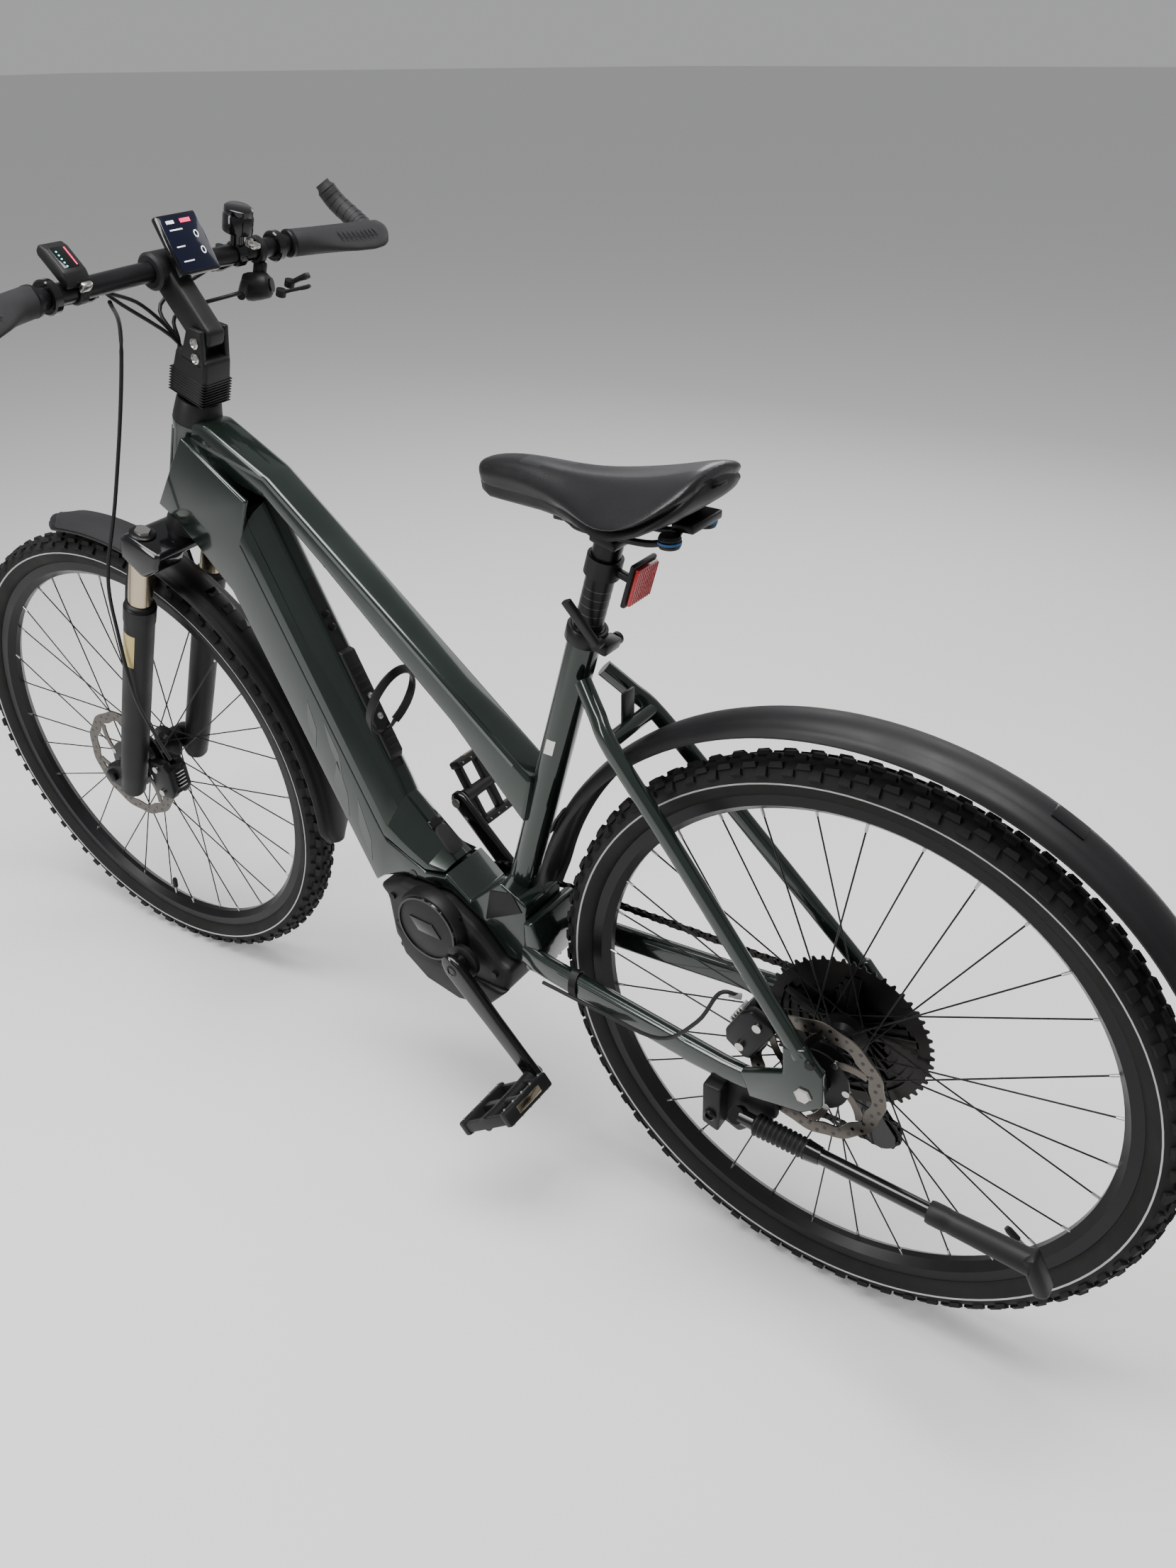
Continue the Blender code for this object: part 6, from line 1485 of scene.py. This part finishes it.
def display():
    hinge = Vector((0.0589, -0.017, 0.7958))
    middle = Vector((0.0490, -0.017, 0.8000))
    turn = Matrix.Rotation(math.radians(-45), 3, "Y")

    def on_face(x, y, z=0.0):
        return middle + turn @ Vector((x, y, z))

    case = box((0.066, 0.060, 0.0090), on_face(0, 0, -0.0008), turn, 0.0030)
    barrel = rod(hinge - Vector((0, 0.012, 0)), hinge + Vector((0, 0.012, 0)), 0.0055)
    piece("display_case", joined(case, barrel), GLOSS, "display", STEERED, ("display_unit",), 40)
    glass = box((0.060, 0.054, 0.0016), on_face(0, 0, 0.0040), turn, 0.0007)
    piece("display_glass", glass, SCREEN, "display", STEERED)

    def bars(name, look_used, items):
        shapes = [box((h, w, 0.0004), on_face(x, y, 0.0050), turn) for x, y, h, w in items]
        piece(name, joined(*shapes), look_used, "display", STEERED)

    bars("display_red_bar", MAGENTA, ((0.0235, -0.0080, 0.0045, 0.0150),))
    bars("display_white_bars", WHITE_LIGHT, (
        (0.0235, 0.0140, 0.0035, 0.0110), (0.0150, 0.0100, 0.0014, 0.0180), (-0.0030, 0.0140, 0.0012, 0.0120),
        (-0.0190, 0.0120, 0.0012, 0.0150)))
    digits = []
    for x in (0.0075, -0.0105):
        ring = lathe([(0.0030, -0.0002), (0.0042, -0.0002), (0.0042, 0.0002), (0.0030, 0.0002)], 24)
        stretch = Matrix.Diagonal((1.0, 1.0, 0.72, 1.0))
        place = Matrix.Translation(on_face(x, -0.0150, 0.0050)) @ turn.to_4x4() @ UPRIGHT
        digits.append(moved(ring, place @ stretch))
    piece("display_digits", joined(*digits), WHITE_LIGHT, "display", STEERED)


def remote():
    turn = Matrix.Rotation(math.radians(-25), 3, "Y")
    middle = Vector((0.064, 0.138, 0.7960))

    def on_top(x, y, z):
        return middle + turn @ Vector((x, y, z))

    case = prism([(-0.025, -0.0060), (-0.021, -0.0075), (0.021, -0.0075), (0.025, -0.0040), (0.025, 0.0040),
                  (0.016, 0.0075), (-0.014, 0.0075), (-0.025, 0.0020)], -0.015, 0.015, 0.0040, 3)
    case = moved(case, Matrix.Translation(middle) @ turn.to_4x4())
    piece("remote_case", joined(clamp_ring(0.130, 0.012, 0.0148), case), BLACK, "cockpit", STEERED,
          ("remote_body",), 42)
    glass = box((0.026, 0.020, 0.0010), on_top(0.003, 0, 0.0075), turn, 0.0004)
    piece("remote_face", glass, GLOSS, "cockpit", STEERED)
    dots = [rod(on_top(0.0100 - 0.0045 * i, 0.0050, 0.0080), on_top(0.0100 - 0.0045 * i, 0.0050, 0.0083),
                0.0010, sides=12)
            for i in range(5)]
    piece("remote_lights", joined(*dots), CYAN, "cockpit", STEERED)
    piece("remote_line", box((0.022, 0.0016, 0.0004), on_top(0.0030, -0.0075, 0.0081), turn), MAGENTA,
          "cockpit", STEERED)
    at = Vector((0.0375, 0.134, 0.7836))
    piece("remote_key", box((0.006, 0.014, 0.012), at, turn, 0.0024), STEEL, "remote_button", STEERED,
          ("remote_button",))


# ---- cords --------------------------------------------------------------------------------
CABLE_R, HOSE_R = 0.0023, 0.0024


def cords():
    """Hoses and cables, on the same routes as their CAD solids."""
    gather, foot = (0.036, 0.0, 0.690), (0.034, 0.0, 0.643)
    loops = (
        ((0.070, 0.078, 0.752), (0.075, 0.020, 0.722)), ((0.070, -0.078, 0.752), (0.078, -0.010, 0.716)),
        ((0.024, -0.082, 0.742), (0.060, -0.020, 0.712)), ((0.0900, 0.116, 0.790), (0.092, 0.050, 0.730)),
    )
    for i, (start, middle) in enumerate(loops):
        bending_cable(f"cockpit_cable_{i + 1}", [start, middle, gather, foot], CABLE_R, BLACK,
                      STEERED,
                      ("cockpit_cables",) if i == 0 else ())
    front = [(0.066, 0.076, 0.742), (0.088, 0.040, 0.690), (0.080, 0.045, 0.600), (0.060, 0.070, 0.480),
             (0.050, 0.0890, 0.380), (0.030, 0.0900, 0.300), (-0.004, 0.0870, 0.200), (-0.030, 0.0600, 0.110),
             (-0.040, 0.0520, 0.084)]
    bending_cable("front_hose", front, HOSE_R, BLACK,
                  STEERED, ("front_brake_hose",))
    rear = [(0.350, 0.0735, 0.331), (0.260, 0.0800, 0.334), (0.175, 0.0920, 0.348), (0.128, 0.0920, 0.398),
            (0.106, 0.0860, 0.446), (0.0850, 0.0760, 0.444)]
    cable("rear_hose", rear, HOSE_R, BLACK, "frame", replaces=("rear_brake_hose",))
    fitting = [(0.0, 0.0), (0.0036, 0.0), (0.0036, 0.008), (0.0028, 0.0095), (0.0028, 0.014), (0.0, 0.014)]
    piece("rear_hose_fitting", turned(fitting, (0.0850, 0.0760, 0.444), (0.106 - 0.085, 0.010, 0.002), 6),
          STEEL, "frame")


# ---- floor, lights and camera ----------------------------------------------------------------
CAMERA_AT = (-0.8905, 0.9339, 1.3011)
CAMERA_LOOK = (0.47865, -0.69635, -0.53479)
CAMERA_ROLL = math.radians(-0.674)
CAMERA_LENS = 27.106


def lamp(name, size, power, at, aim):
    data = bpy.data.lights.new(name, "AREA")
    data.shape = "RECTANGLE"
    data.size, data.size_y = size
    data.energy = power
    made = bpy.data.objects.new(name, data)
    made.location = at
    made.rotation_mode = "QUATERNION"
    made.rotation_quaternion = (Vector(aim) - Vector(at)).to_track_quat("-Z", "Y")
    bpy.context.scene.collection.objects.link(made)


def studio():
    shape = bmesh.new()
    bmesh.ops.create_grid(shape, x_segments=1, y_segments=1, size=60.0)
    mesh = bpy.data.meshes.new("floor")
    shape.to_mesh(mesh)
    shape.free()
    pale = bpy.data.materials.new("pale_floor")
    pale.use_nodes = True
    pale.node_tree.nodes["Principled BSDF"].inputs["Base Color"].default_value = (0.74, 0.74, 0.73, 1.0)
    pale.node_tree.nodes["Principled BSDF"].inputs["Roughness"].default_value = 0.75
    mesh.materials.append(pale)
    floor = bpy.data.objects.new("floor", mesh)
    bpy.context.scene.collection.objects.link(floor)
    world = bpy.data.worlds.new("studio")
    world.use_nodes = True
    world.node_tree.nodes["Background"].inputs["Color"].default_value = (0.80, 0.81, 0.82, 1.0)
    world.node_tree.nodes["Background"].inputs["Strength"].default_value = 0.50
    bpy.context.scene.world = world
    lamp("ceiling", (3.2, 1.2), 170, (-0.2, 0.3, 3.2), (0, 0, 0.5))
    lamp("window", (0.5, 2.4), 60, (1.2, 2.6, 2.1), (0.1, 0, 0.6))
    lamp("back_fill", (2.5, 1.2), 25, (0.2, -2.8, 2.0), (0, 0, 0.6))


def camera():
    data = bpy.data.cameras.new("camera")
    data.sensor_width = 36.0
    data.lens = CAMERA_LENS
    data.clip_end = 60.0
    made = bpy.data.objects.new("camera", data)
    made.location = CAMERA_AT
    made.rotation_mode = "QUATERNION"
    made.rotation_quaternion = (Vector(CAMERA_LOOK).to_track_quat("-Z", "Y")
                                @ Quaternion((0, 0, 1), CAMERA_ROLL))
    bpy.context.scene.collection.objects.link(made)
    bpy.context.scene.camera = made


# ---- assembly -----------------------------------------------------------------------------
camera()
wheels()
main_tubes()
frame_details()
rear_stays()
motor()
guard("rear_guard", "frame", REAR_AXLE, "rear_mudguard", 0.4045, 0.031, 8, 152, 0.016, 0.2)
guard("front_guard", "fork_lowers", FRONT_AXLE, "front_mudguard", 0.3845, 0.030, 58, 165, 0.013)
guard_details()
rear_caliper_piece("rear_caliper_body", "frame", BIKE, (0, TYRE_R), (0.0740, 0.0380), 0.0587, "rear_caliper")
rear_caliper_piece("front_caliper_body", "fork_lowers", STEERED, (FORK_OFFSET, 0), (-0.0790, 0.0360), 0.0397,
                   "front_caliper")
battery()
bottle_cage()
charge_flap()
saddle()
seatpost()
seat_clamp()
crank_arms()
pedals()
cassette()
chain()
derailleur()
kickstand()
fork()
stem()
for hand, way in (("left", 1), ("right", -1)):
    grip(hand, way)
    brake(hand, way)
bell()
shifter()
display()
remote()
cords()
studio()
